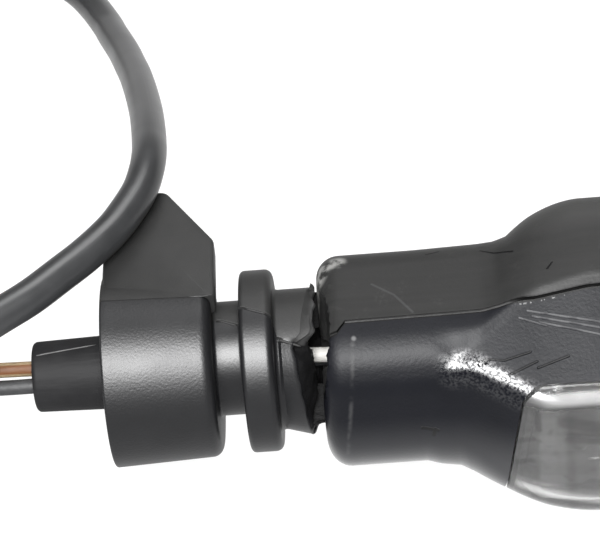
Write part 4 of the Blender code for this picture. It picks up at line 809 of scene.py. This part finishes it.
for label, route, skin in (("live", live_tail_route, LIVE), ("ground", ground_tail_route, GROUND)):
    stations = coil_centre + np.column_stack((np.array(route), np.zeros(len(route))))
    stations = np.vstack((stations[0] + tail_start, stations))
    tail = lofted(label + "_end", cord_rows(even(stations, 0.7), wire_diameter, 20), material=skin)
    seat(tail, "stem", label + "_insulation", label + "_tail")
    bullet = lofted(label + "_bullet_end", rings(bullet_profile, 40) + stations[-1] * MM, material=BULLET)
    seat(bullet, "stem", "bullet_brass", label + "_bullet")
    sleeve = lofted(label + "_sleeve_end", rings(dense(sleeve_profile, 0.5), 40) + stations[-1] * MM,
                    wrap=True, material=SLEEVE)
    seat(sleeve, "stem", "sleeve_vinyl", label + "_sleeve")
    if label == "live":
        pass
    else:
        shown = even(stations, 1.6)

tie_angle = math.radians(235)
tie_far = coil_outer - coil_pitch * (tie_angle - math.pi / 2) / (2 * math.pi)
tie_near = tie_far - coil_pitch * (coil_turns - 1)
# Section of the tie, as its gap to the sheath and its place across its width
tie_section = [(0.12, -1.5), (0.05, -1.2), (0.05, 1.2), (0.12, 1.5), (0.7, 1.5), (0.85, 1.3), (0.9, 0.0),
               (0.85, -1.3), (0.7, -1.5)]


def tie_ring(margin, across):
    """One line of the tie round the turns of the coil."""
    reach = sheath_diameter / 2 + margin
    loop = blunted([(tie_near - reach, -reach, reach), (tie_far + reach, -reach, reach),
                    (tie_far + reach, reach, reach), (tie_near - reach, reach, reach)], 14)
    flat = np.column_stack((loop[:, 0], np.full(len(loop), across), loop[:, 1]))
    turn = np.array(Matrix.Rotation(tie_angle, 3, "Z"))
    return (flat @ turn.T + coil_centre) * MM


points, feed = finish("tie_vinyl", Specular_IOR_Level=0.5)
ribs = points.node("TexWave", {"wave_type": "BANDS", "bands_direction": "X"},
                   {"Vector": points, "Scale": 0.5}, 1)
TIE = feed(points.grain(0.8).mix(grey(0.012), grey(0.03)), 0.4 + 0.2 * points.grain(1.5), ribs, 0.06)
tie = lofted("coil_band", [tie_ring(*spot) for spot in tie_section], wrap=True, material=TIE)
seat(tie, "stem", "tie_vinyl", "coil_tie")


# Lamp housing: two halves of black plastic welded along a parting line over the top of the neck block and
# head. The rear half is dull, the front half glossier and scratched, and torn rubber clings to its end.
head_shift, block_width, block_left, block_round, block_end_round = 0.5, 20.7, 8.95, 5.5, 2.7
block_belly, block_belly_round, housing_wall = 0.9, 9.5, 2.2
head_taper, head_tip = 52.0, 83.0
head_rear, head_top, head_front, head_bottom, head_dome, head_keel = 13.4, 14.2, 15.4, 15.6, 13.2, 11.0
chin_round, facet_low_z = 4.0, 4.6
tip_y, tip_z, tip_fullness = -4.5, -1.5, 2.2
# Where the back and the chin swell from block to head: start, stop and power
rear_swell, chin_swell = (30.0, 40.0, 2.0), (20.5, 40.0, 1.65)
# The flat facet over the lens: its upper edge, the crease where it rises out of the block, and the ridge at
# its foot, each as x and then (y, z, radius)
edge_at = [(22, -6.0, 9.85, 6.5), (25, -6.6, 9.85, 3.5), (28, -6.3, 9.9, 3.0), (34, -2.9, 11.6, 3.0),
           (40, -1.6, 12.5, 3.0)]
crease_at = [(22, -9.1, 8.1, 6.5), (24.4, -9.2, 7.4, 1.5), (27.5, -7.8, 8.7, 1.0), (31, -5.3, 10.1, 1.0),
             (34, -3.7, 10.9, 1.4), (40, -2.4, 11.9, 2.0)]
ridge_at = [(22, -10.8, 5.0, 6.5), (24.4, -10.5, 6.4, 3.0), (26, -10.8, 6.9, 3.0), (30, -13.3, 5.8, 4.5),
            (34, -15.3, 4.7, 2.6), (36, -15.4, 4.6, 1.5)]
# The parting line over the top, as x and y
parting_at = [(9, -6.2), (11.2, -5.8), (12.2, -4.4), (30, -4.2), (40, -3.1), (52, -2.8), (70, -3.4),
              (83, -4.5)]
line_half, line_depth, SIDE_POINTS = 0.18, 0.22, 120


def tip_share(x, tip):
    """Share of the section's size that is left at x on the way to the rounded tip."""
    t = min(max((x - head_taper) / (tip - head_taper), 0.0), 1.0)
    return (1 - t ** tip_fullness) ** (1 / tip_fullness)


def swollen(x, start, stop, power):
    """Growth from 0 to 1 between two places, quick at first and then slower."""
    return 1 - (1 - min(max((x - start) / (stop - start), 0.0), 1.0)) ** power


def between(first, second, share):
    return np.array(first) * (1 - share) + np.array(second) * share


def head_corners(x):
    """Corners (y, z, radius) of the lamp: rear top, facet edge, crease, ridge, chin, rear bottom."""
    low, high = -block_width / 2 - head_shift, block_width / 2 - head_shift
    rear, chin = swollen(x, *rear_swell), swollen(x, *chin_swell)
    corners = [between((high, high, block_round), (head_rear, head_top, head_dome), rear)]
    for stations in (edge_at, crease_at, ridge_at):
        at, *rest = np.array(stations).T
        corners.append(np.array([np.interp(x, at, values) for values in rest]))
    belly, keel = (low - block_belly, low - block_belly, block_belly_round), (high, low, block_round)
    corners.append(between(belly, (-head_front, -head_bottom, chin_round), chin))
    corners.append(between(keel, (head_rear, -head_bottom, head_keel), (chin + rear) / 2))
    left = tip_share(x, head_tip)
    return [(tip_y + (y - tip_y) * left, tip_z + (z - tip_z) * left, r * left) for y, z, r in corners]


def drawn_in(corners, depth):
    """Corners of the same section inside a wall; in the crease the wall goes the other way round."""
    spots = [Vector(c[:2]) for c in corners]
    area = sum(a.cross(b) for a, b in zip(spots, spots[1:] + spots[:1]))
    result = []
    for i, (_, _, radius) in enumerate(corners):
        before, after, _ = arms_of(spots, i)
        inwards = depth if (before.cross(after) < 0) == (area > 0) else -depth
        spot = spots[i] + (before + after).normalized() * (inwards / math.sin(before.angle(after) / 2))
        result.append((spot.x, spot.y, max(radius - inwards, depth / 4, 0.05)))
    return result


def head_ring(x, corners, groove=True):
    """Ring of the section at x, split where the parting line crosses it above and below, with its groove."""
    outline = blunted(corners, 24)
    closed = np.vstack((outline, outline[:1]))
    length = np.concatenate(([0.0], np.cumsum(np.linalg.norm(np.diff(closed, axis=0), axis=1))))
    whole = length[-1]

    def spots_at(places):
        return np.column_stack([np.interp(places % whole, length, closed[:, i]) for i in range(2)])

    front, rear = closed[:, 0].min(), closed[:, 0].max()
    split = min(max(np.interp(x, *zip(*parting_at)), front * 0.85 + rear * 0.15), rear * 0.7)
    side = closed[:, 0] - split
    crossings = {}
    for i in range(len(closed) - 1):
        if (side[i] > 0) != (side[i + 1] > 0):
            share = side[i] / (side[i] - side[i + 1])
            crossings[side[i] > 0] = length[i] + (length[i + 1] - length[i]) * share
    top, low = crossings[True], crossings[False]
    if low < top:
        low += whole
    width = min(line_half, whole / 60)
    across = np.array([-width / 2, 0.0, width / 2])
    where = np.concatenate((top + across, np.linspace(top + width, low - width, SIDE_POINTS),
                            low + across, np.linspace(low + width, top + whole - width, SIDE_POINTS)))
    spots = spots_at(where)
    if groove:
        ahead = spots_at(where + 0.05) - spots
        ahead /= np.linalg.norm(ahead, axis=1)[:, None] + 1e-9
        inward = np.column_stack((-ahead[:, 1], ahead[:, 0]))
        if ((closed.mean(axis=0) - spots) * inward).sum() < 0:
            inward = -inward
        for first in (0, 3 + SIDE_POINTS):
            cut = line_depth * width / line_half * np.array([0.7, 1.0, 0.7])
            spots[first:first + 3] += inward[first:first + 3] * cut[:, None]
    return np.column_stack((np.full(len(spots), x), spots)) * MM


def head_rows(start, stop, wall=0.0, end_round=0.0, groove=True, step=0.55):
    """Rings of the lamp's outer form between two places, drawn in by a wall, closer together at the tip."""
    rows = []
    if end_round:
        first = head_corners(start)
        for share in (0.3, 0.45, 0.6, 0.75, 0.88):
            small = np.array(drawn_in(first, wall + end_round)) * share
            rows.append(head_ring(start, small, groove=False))
        for angle in np.linspace(0, math.pi / 2, 10, endpoint=False):
            inset = drawn_in(first, wall + end_round * (1 - math.sin(angle)))
            rows.append(head_ring(start + end_round * (1 - math.cos(angle)), inset, groove))
    run = np.arange(start + end_round, head_taper, step)
    taper = head_taper + (stop - head_taper) * np.sin(np.pi / 2 * np.linspace(0, 1, 40))
    for x in np.concatenate((run, taper)):
        corners = head_corners(x)
        rows.append(head_ring(x, drawn_in(corners, wall) if wall else corners, groove))
    return np.array(rows)


lens_left_top, lens_left_bottom, lens_tip, lens_rim, lens_lap = 31.8, 28.8, 80.8, 1.1, 1.4
lens_wall, lens_round, lens_rake, lens_seat_y = 1.8, 2.5, 0.085, -10.0
lens_corner_round, lens_chin_x, lens_chin_round = 0.5, 37.0, 8.0
tip_end = head_taper + (head_tip - head_taper) * 0.995


def lens_outline(inset=0.0):
    """The lens from the front, as (x, z): slanted left end, edges along the lamp's, rounded tip."""
    top, bottom = facet_low_z + lens_lap - inset, lens_rim - head_bottom + inset
    tip = lens_tip - inset
    corner = head_corners(lens_left_bottom)[4][1] + lens_rim / 3 + inset
    left = blunted([(lens_left_bottom + inset, corner, lens_corner_round),
                    (lens_chin_x, bottom, lens_chin_round), (head_taper, bottom, lens_round),
                    (head_taper, top, lens_round), (lens_left_top + inset, top, lens_round)], 10)
    start = np.vstack((left[40:50], left[0:20]))
    along = head_taper + (tip - head_taper) * np.sin(np.pi / 2 * np.linspace(0, 1, 24))
    shares = np.array([tip_share(x, tip) for x in along])
    lower = np.column_stack((along, tip_z + (bottom - tip_z) * shares))
    upper = np.column_stack((along[:-1], tip_z + (top - tip_z) * shares[:-1]))
    return np.vstack((start, lower, upper[::-1]))


def front_block(name, inset, near, far):
    """Solid with the lens's outline between two depths, leaning back with the seat."""
    plan = lens_outline(inset)
    lean = lens_rake * (plan[:, 0] - lens_left_bottom)
    return lofted(name, [np.column_stack((plan[:, 0], y + lean, plan[:, 1])) * MM for y in (near, far)])


def bar(name, radius, start, stop, line, sides=48):
    """Round tool along a line given by its place and direction."""
    return lofted(name, sleeve_rows([(start, radius), (stop, radius)], line[0], line[1], sides))


screw_line = ((73.0, 0.0, -3.0), (0.0, 1.0, 0.0))
bulb_line = ((0.0, *bulb_axis), (1.0, 0.0, 0.0))
stem_line = ((0.0, 0.0, 0.0), (1.0, 0.0, 0.0))
socket_at, socket_radius, cap_end, fit = 28.0, 8.3, 47.1, 0.3
boss_radius, boss_start, boss_end = 3.6, 0.6, 6.7
recess_radius, recess_floor, screw_bore, past_back, past_front = 3.0, 5.2, 1.7, 16.0, -31.0
dish_inset, dish_depth, bore_start = 0.7, 5.0, 5.0

housing_rows = head_rows(block_left, tip_end, end_round=block_end_round)
around = np.degrees(np.arctan2(housing_rows[..., 2], housing_rows[..., 1]))
# How far the tear bites into the block's end, by angle; less where the block reaches past bite_radius
torn_x = np.interp(around % 360, [20, 40, 60, 75, 85, 100, 115, 125, 140, 155, 170, 185, 200],
                   [8.9, 8.9, 8.95, 9.4, 10.0, 10.6, 11.1, 10.95, 10.5, 9.9, 9.3, 8.95, 8.9])
bite_end, bite_radius, bite_run, bite_slope, bite_rough = 13.0, 8.5, 3.0, 0.25, 0.3
off_line = np.hypot(housing_rows[..., 1], housing_rows[..., 2]) / MM
ragged = lumps(housing_rows, size=1.1, seed=12.0) + 0.5 * lumps(housing_rows, size=0.4, seed=2.0)
bitten = torn_x + bite_rough * ragged - bite_slope * np.clip(off_line - bite_radius, 0, bite_run)
near_end = housing_rows[..., 0] / MM < bite_end
housing_rows[..., 0] = np.maximum(housing_rows[..., 0], np.where(near_end, bitten * MM, -np.inf))
housing = lofted("housing", housing_rows)
cavity_rows = head_rows(cavity_at, head_tip - 2 * housing_wall, housing_wall, groove=False, step=1.5)
carved(housing,
       ("DIFFERENCE", lofted("cavity", cavity_rows)),
       ("UNION", bar("boss", boss_radius, boss_start, boss_end, screw_line)),
       ("DIFFERENCE", bar("screw_recess", recess_radius, recess_floor, past_back, screw_line)),
       ("DIFFERENCE", bar("screw_way", screw_bore, 0.0, past_back, screw_line)),
       ("DIFFERENCE", front_block("lens_seat", 0.0, past_front, lens_seat_y)),
       ("DIFFERENCE", front_block("dish_way", dish_inset, lens_seat_y - fit, lens_seat_y + dish_depth)),
       ("DIFFERENCE", bar("wire_way", pair_bore, bore_start, cavity_at + housing_wall, stem_line)),
       ("DIFFERENCE", bar("socket_way", socket_radius + fit, socket_at - fit, cap_end + fit, bulb_line)),
       crease=28)

points, feed = finish("housing_plastic", Specular_IOR_Level=0.07, Coat_Roughness=0.3)
x, y, z = points.axes()
line = parting_at[0][1]
for (left, here), (right, there) in zip(parting_at, parting_at[1:]):
    line = line + (there - here) * x.rise(left, right, "LINEAR")
past_line = y - line
rear_half = past_line.rise(-0.1, 0.1)
front_half = 1 - rear_half
# Painted shade: the parting line's groove is painted near black.
shaded_parting_line = past_line.band(-0.4, -0.28, 0.22, 0.34)
cloud, fine = points.grain(0.16, 3.0), points.grain(2.6, 3.0, 0.6)
streak = points.grain(0.9, 3.0, 0.5, (0.05, 1.0, 1.0))
# Marks as seen from above, as a width and paths of (x, y) in mm: pale and faint scratches, dark scratches, a
# pit, and the worn corner; then one nick in the front, as (x, z)
pale_paths = [[(33, -5.1), (41, -6.9), (46, -7.9)], [(33.5, -5.7), (41, -7.5), (45, -8.4)],
              [(34.3, -6.4), (41, -8.2)], [(32, -5.8), (35, -6.8)]]
dark_paths = [[(28, -9.8), (30, -10.1), (33, -9.4)], [(30, -11.8), (33.7, -10.4)],
              [(33.7, -11.1), (37.3, -10.1)], [(22, 5.8), (23.5, 6.3)], [(28.3, 5.7), (32, 3.7)],
              [(35.7, -0.4), (36.3, 0.4)]]
marks = [(0.14, pale_paths), (0.22, [[(15.5, 1.4), (18, -0.6), (20, -3.6)]]), (0.15, dark_paths),
         (0.5, [[(27.2, -10), (27.9, -9.9)]]), (1.5, [[(9, 3.5), (10, 5.2), (11.6, 5.7)]])]
nick_paths = [[(20.2, 0, -1.5), (21.9, 0, -1.9)], [(21.6, 0, -1.7), (21.4, 0, -2.6)]]
from_above, upper = points.vector("MULTIPLY", points, (1, 1, 0)), z.rise(0.0, 2.0)
pale_marks, faint_marks, dark_marks, pit, worn = (
    upper * from_above.strokes([[(*spot, 0) for spot in path] for path in paths], width)
    for width, paths in marks)
from_front = points.vector("MULTIPLY", points, (1, 0, 1))
nick = from_front.strokes(nick_paths, 0.34) * y.rise(-8.0, -10.0)
# Painted highlights: a bright spot on the block's front corner and glints along the parting line.
corner_highlight = points.vector("DISTANCE", from_above, (13.1, -6.7, 0), result=1).rise(0.4, 0.1) * upper
scuff = points.grain(0.35, 4.0).rise(0.55, 0.75) * points.grain(2.0, 2.0).rise(0.45, 0.6)
# Painted glints: short bright dashes just in front of the parting line.
glints = past_line.band(-0.55, -0.48, -0.4, -0.34) * x.band(31.6, 32.4, 37.0, 38.0)
glints = glints * points.grain(3.4, 1.0, 0.5, (1.0, 0.05, 0.05)).rise(0.5, 0.56)
# Painted highlight: a lighter line down the block's front left edge.
past_edge = x - 0.11 * z - 11.9
edge_highlight = past_edge.band(-0.4, 0.0, 0.0, 0.4) * y.rise(-6.5, -7.5) * z.rise(-6.0, -4.0)
patches = points.grain(0.5, 2.0).rise(0.3, 0.6)
front_tone = cloud.mix((0.004, 0.0045, 0.0065), (0.008, 0.0085, 0.012))
rear_tone = streak.mix((0.02, 0.02, 0.0198), (0.032, 0.032, 0.0316))
# Painted rim light: the rear half is painted lighter towards the back, a painted reflection at its edge.
rear_tone = y.rise(4.0, 9.5).mix(rear_tone, (0.06, 0.06, 0.059))
tone = rear_half.mix(front_tone, rear_tone)
# Scuffs, wear and scratches first, then painted highlights, then the painted shade in the parting line.
for share, colour in ((0.12 * scuff * rear_half, grey(0.1)),
                      (worn * points.grain(0.9, 3.0).rise(0.35, 0.6), (0.3, 0.3, 0.29)),
                      (0.5 * pale_marks * patches, (0.16, 0.16, 0.165)),
                      (0.5 * faint_marks, (0.07, 0.07, 0.072)),
                      (dark_marks.most(nick).most(0.8 * pit), (0.002, 0.002, 0.0025)),
                      ((0.4 * glints).most(0.3 * corner_highlight), grey(0.5)),
                      (0.6 * edge_highlight * patches, (0.06, 0.06, 0.062)),
                      (shaded_parting_line, grey(0.003))):
    tone = share.mix(tone, colour)
ridge_path = [spot[:3] for spot in ridge_at[1:]] + [(head_taper, *ridge_at[-1][1:3])]
ridge = points.strokes([ridge_path], 3.0)
roughness = 0.46 - (0.16 * z.rise(7.0, 4.0) * front_half).most(0.28 * ridge) + 0.06 * cloud
relief = (0.26 * fine + 0.2 * streak * rear_half - 0.6 * dark_marks.most(nick).most(pit) - 0.2 * pale_marks
          + 0.3 * points.grain(0.3, 2.0) + 0.22 * ridge * points.grain(5.0, 1.0))
coat = (front_half * z.rise(1.0, -8.0)).most(0.6 * ridge * points.grain(3.2, 1.0).rise(0.36, 0.64))
dress(housing, feed(tone, roughness, relief, 0.12, coat=coat))
seat(housing, "lamp_head", "housing_plastic", "lamp_housing")


# Reflector: vacuum-metallised plastic dish behind the lens, pressed in flat rectangular facets that throw
# the lamp's light forward in blocks. It is the CAD dish with a slightly clouded skin, dark over most of it,
# with a painted band of light near white along its lower part.
points, feed = finish("reflector_bright", Metallic=1.0)
cells = points.node("TexVoronoi", {"distance": "CHEBYCHEV"},
                    {"Vector": points, "Scale": 0.28, "Randomness": 0.35})
haze = points.grain(0.3, 3.0)
shade = haze.mix((0.15, 0.15, 0.152), (0.09, 0.09, 0.092))
# Painted light: the dish's lower part is painted near white, a painted band of light.
silver_lit_below = points.axes()[2].rise(-8.0, -11.0).mix(shade, grey(0.85))
dress(bpy.data.objects["reflector"], feed(silver_lit_below, 0.45 + 0.2 * haze, cells, 0.25))


# Bulb holder: rolled steel shell with two J slots, brown phenolic base, sprung brass plunger, the live
# wire's crimped terminal and the ground tag, all as the CAD made them; the spring is wound from wire here.
def metal(name, bright, dull, roughness):
    """Brushed and a little stained metal."""
    points, feed = finish(name, Metallic=1.0)
    stain, brushed = points.grain(0.5, 4.0), points.grain(3.0, 2.0, 0.5, (0.15, 1.0, 1.0))
    return feed(stain.mix(bright, dull), roughness + 0.25 * stain, brushed, 0.04)


for node, *look in (("bulb_socket", "socket_steel", (0.62, 0.61, 0.58), (0.4, 0.37, 0.32), 0.28),
                    ("ground_tag", "tag_steel", (0.6, 0.6, 0.58), (0.42, 0.38, 0.34), 0.3),
                    ("contact_plunger", "plunger_brass", (0.78, 0.58, 0.26), (0.5, 0.33, 0.14), 0.25),
                    ("live_terminal", "terminal_brass", (0.76, 0.56, 0.25), (0.5, 0.34, 0.15), 0.28)):
    dress(bpy.data.objects[node], metal(*look))
dress(bpy.data.objects["socket_base"],
      mottled("base_phenolic", (0.2, 0.085, 0.035), (0.1, 0.04, 0.018), scale=1.6, detail=4.0,
              roughness=0.45, spread=0.2, depth=0.05, Specular_IOR_Level=0.5))

spring_low, spring_high = (np.array(corner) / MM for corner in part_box("contact_spring"))
spring_wire, spring_turns, spring_travel, SPRING_POINTS = 0.5, 2, 1.2, 72
spring_middle = (spring_low + spring_high) / 2
spring_radius = (spring_high[1] - spring_low[1] - spring_wire) / 2
turned = np.linspace(0, 2 * math.pi * spring_turns, SPRING_POINTS)
along = np.linspace(spring_low[0] + spring_wire / 2, spring_high[0] - spring_wire / 2, SPRING_POINTS)
spring_path = np.column_stack((along, spring_middle[1] + spring_radius * np.cos(turned),
                               spring_middle[2] + spring_radius * np.sin(turned)))
spring = lofted("plunger_spring", cord_rows(spring_path, spring_wire, 16, (1, 0, 0), ends=0.1),
                material=metal("spring_steel", grey(0.66), (0.45, 0.44, 0.42), 0.25))
seat(spring, "lamp_head", "spring_steel", "contact_spring")
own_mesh(spring)


# Bulb: amber lacquered glass with its filament on two posts, cemented in a brass bayonet cap with two
# pins; a black glass bead in the cap's end carries the solder contact. Only the glass rides on the bulb's
# body.
for node, *look in (("bulb_cap", "cap_brass", (0.75, 0.68, 0.5), (0.5, 0.43, 0.28), 0.24),
                    ("bulb_contact", "contact_solder", grey(0.62), grey(0.42), 0.35),
                    ("filament", "filament_tungsten", grey(0.5), grey(0.3), 0.35)):
    dress(bpy.data.objects[node], metal(*look))
points, feed = finish("bead_glass", Specular_IOR_Level=0.6)
dress(bpy.data.objects["bulb_insulator"],
      feed(points.grain(0.8).mix((0.01, 0.01, 0.014), (0.03, 0.03, 0.04)), 0.12 + 0.1 * points.grain(1.0)))
globe_radius, globe_neck, globe_wall, globe_reach, globe_root = 7.4, 6.0, 0.6, 16.0, 4.0


def globe_arc(inset):
    """The globe's round from its top down to its neck, drawn in by an inset."""
    radius, neck = globe_radius - inset, globe_neck - inset
    angles = np.linspace(0.0, math.pi - math.asin(neck / radius), 36)
    middle = cap_end + globe_reach - globe_radius
    return [(middle + radius * math.cos(a), radius * math.sin(a)) for a in angles]


root = cap_end - globe_root
bulb_profile = globe_arc(0.0) + [(root, globe_neck), (root, globe_neck - globe_wall)]
bulb_profile += globe_arc(globe_wall)[::-1]
points, feed = finish("bulb_amber", Transmission_Weight=0.85, IOR=1.45)
lacquer = points.grain(0.5, 2.0)
AMBER = feed(lacquer.mix((1.0, 0.42, 0.04), (0.95, 0.33, 0.02)), 0.04 + 0.06 * lacquer)
globe = lofted("bulb_globe", rings(bulb_profile, 72, bulb_axis), wrap=True, material=AMBER)
seat(globe, "bulb", "bulb_amber", "bulb_glass")


# Lens: clear moulded cover on a foam gasket, glossy outside and pressed inside in small rectangular
# prisms of different depth, with a boss for the one screw that pulls it in from behind.
lens_gap, gasket_front, gasket_back, gasket_strip, gasket_inside = 0.25, -12.35, -11.45, 1.3, 0.8
cut_front, cut_back, front_rows_at = -13.0, -11.0, 22.8
gasket = front_block("gasket", lens_gap, gasket_front, gasket_back)
gasket_rows = head_rows(front_rows_at, tip_end - gasket_inside, gasket_inside, groove=False)
carved(gasket, ("DIFFERENCE", front_block("gasket_way", lens_gap + gasket_strip, cut_front, cut_back)),
       ("INTERSECT", lofted("gasket_keep", gasket_rows)))
dress(gasket, mottled("gasket_foam", grey(0.006), grey(0.03), scale=3.0, detail=3.0, roughness=0.8,
                      spread=0.15, depth=0.2, Specular_IOR_Level=0.2))
seat(gasket, "lamp_head", "gasket_foam", "lens_gasket")

prism_width, prism_height, prism_lean, prisms_from, prisms_y, PRISM_GRID = 2.3, 1.9, 0.3, -20, -9.0, (60, 80)
lens_back, core_gap, core_back = -12.6, 0.3, 10.0
lens_boss_radius, lens_boss_start, lens_boss_end, pilot_start, pilot_end = 3.3, -11.4, 0.3, -6.1, 14.0
lens = lofted("lens_cover", head_rows(front_rows_at, tip_end, groove=False))
core_rows = head_rows(front_rows_at, tip_end - lens_wall, lens_wall, groove=False, step=0.4)
prism_depth = np.random.default_rng(7).uniform(-0.08, 0.12, PRISM_GRID)
column = np.floor((core_rows[..., 0] / MM + prisms_from) / prism_width).astype(int) % PRISM_GRID[0]
row = np.floor((core_rows[..., 2] / MM - prisms_from + prism_lean * column) / prism_height).astype(int)
facing = core_rows[..., 1] / MM < prisms_y
core_rows[..., 1] += MM * np.where(facing, prism_depth[column, row % PRISM_GRID[1]], 0.0)
core = lofted("lens_core", core_rows)
carved(core, ("INTERSECT", front_block("core_block", core_gap + lens_wall, past_front, core_back)))
carved(lens, ("INTERSECT", front_block("lens_block", lens_gap, past_front, lens_back)), ("DIFFERENCE", core),
       ("UNION", bar("lens_boss", lens_boss_radius, lens_boss_start, lens_boss_end, screw_line)),
       ("DIFFERENCE", bar("lens_pilot", screw_bore, pilot_start, pilot_end, screw_line)), crease=30)
points, feed = finish("lens_clear", Transmission_Weight=0.8, IOR=1.49, Specular_IOR_Level=0.08)
x, y, z = points.axes()
haze, fine = points.grain(0.25, 3.0), points.grain(2.2, 3.0)
# Painted light and shade: the clear lens is tinted grey in lighter and darker columns and rows of prisms.
columns = points.grain(0.33, 1.0, 0.5, (1.0, 0.0, 0.0)).rise(0.44, 0.56)
rows = points.grain(0.4, 1.0, 0.5, (0.0, 0.0, 1.0)).rise(0.42, 0.58)
smudge = points.grain(0.7, 4.0).rise(0.6, 0.75)
tone = (0.5 * columns + 0.3 * rows + 0.2 * haze).mix((0.15, 0.1505, 0.151), (0.3, 0.3005, 0.301))
tone = (0.6 * smudge).mix(tone, grey(0.08))
from_front = points.vector("MULTIPLY", points, (1, 0, 1))
# Painted shade: a few prisms and the lens's upper shoulder are painted dark.
narrow_paths = [[(33.3, 0, 3.5), (33.3, 0, 0.8)], [(30.8, 0, -1.9), (32.6, 0, -1.0)],
                [(30.7, 0, -5.3), (32.4, 0, -4.6)]]
broad_paths = [[(36.5, 0, 2.2), (40.0, 0, 0.9)], [(37.2, 0, -0.6), (40.0, 0, -0.8)]]
shaded_prisms = from_front.strokes(narrow_paths, 0.55).most(from_front.strokes(broad_paths, 1.5))
# Painted light: a band of prisms low on the lens is painted near white.
past_pale = z + 9.2 + 0.25 * (x - 31.0).least(9.6)
lit_prism_band = past_pale.band(-1.1, 0.0, 0.0, 1.1) * x.rise(30.0, 31.0)
# Painted shade along the lens's upper shoulder.
shoulder = z.band(3.8, 4.7, 4.9, 5.7) * y.rise(-13.4, -13.9)
tone = (0.6 * shaded_prisms).most(0.95 * shoulder).mix(tone, (0.05, 0.05, 0.051))
tone = lit_prism_band.mix(tone, (0.97, 0.97, 0.96))
dress(lens, feed(tone, 0.08 + 0.1 * haze + 0.45 * shoulder, 0.3 * fine + haze, 0.03))
seat(lens, "lamp_head", "lens_clear", "lens")


# Lens screw: steel pan head with a cross recess, zinc plated and sunk in the back of the head. It is driven
# from behind and pulls the lens on to its gasket.
screw_head, head_foot, shank_radius, thread_depth, thread_step, screw_end = 7.3, 5.5, 1.4, 0.22, 0.25, -5.8
# Outline as (along, radius): flat top, a sharp ring groove that slants out to the rim, the dome, and the foot
screw_profile = [(screw_head, 0.0), (screw_head, 1.2), (5.9, 2.7), (7.25, 1.6), (7.0, 2.2), (6.5, 2.6),
                 (5.9, 2.7), (head_foot, 2.65), (head_foot, shank_radius)]
screw_profile += [(head_foot - thread_step * i, shank_radius - thread_depth * (i % 2)) for i in range(1, 40)]
screw = lofted("cover_screw", sleeve_rows(screw_profile + [(screw_end, 0.0)], *screw_line, 48))
cross_reach, cross_half = 1.5, 0.28
arm = [(cross_half, cross_reach), (cross_half, cross_half), (cross_reach, cross_half)]
cross = []
for quarter_turn in range(4):
    cross += arm
    arm = [(v, -u) for u, v in arm]
screw_x, _, screw_z = screw_line[0]
recess = lofted("cross_recess", [[((screw_x + u * s) * MM, y * MM, (screw_z + v * s) * MM) for u, v in cross]
                                 for y, s in ((6.2, 0.55), (7.6, 1.0))])
carved(screw, ("DIFFERENCE", recess))
dress(screw, metal("screw_steel", (0.6, 0.6, 0.58), (0.4, 0.38, 0.34), 0.3))
seat(screw, "lamp_head", "screw_steel", "lens_screw")
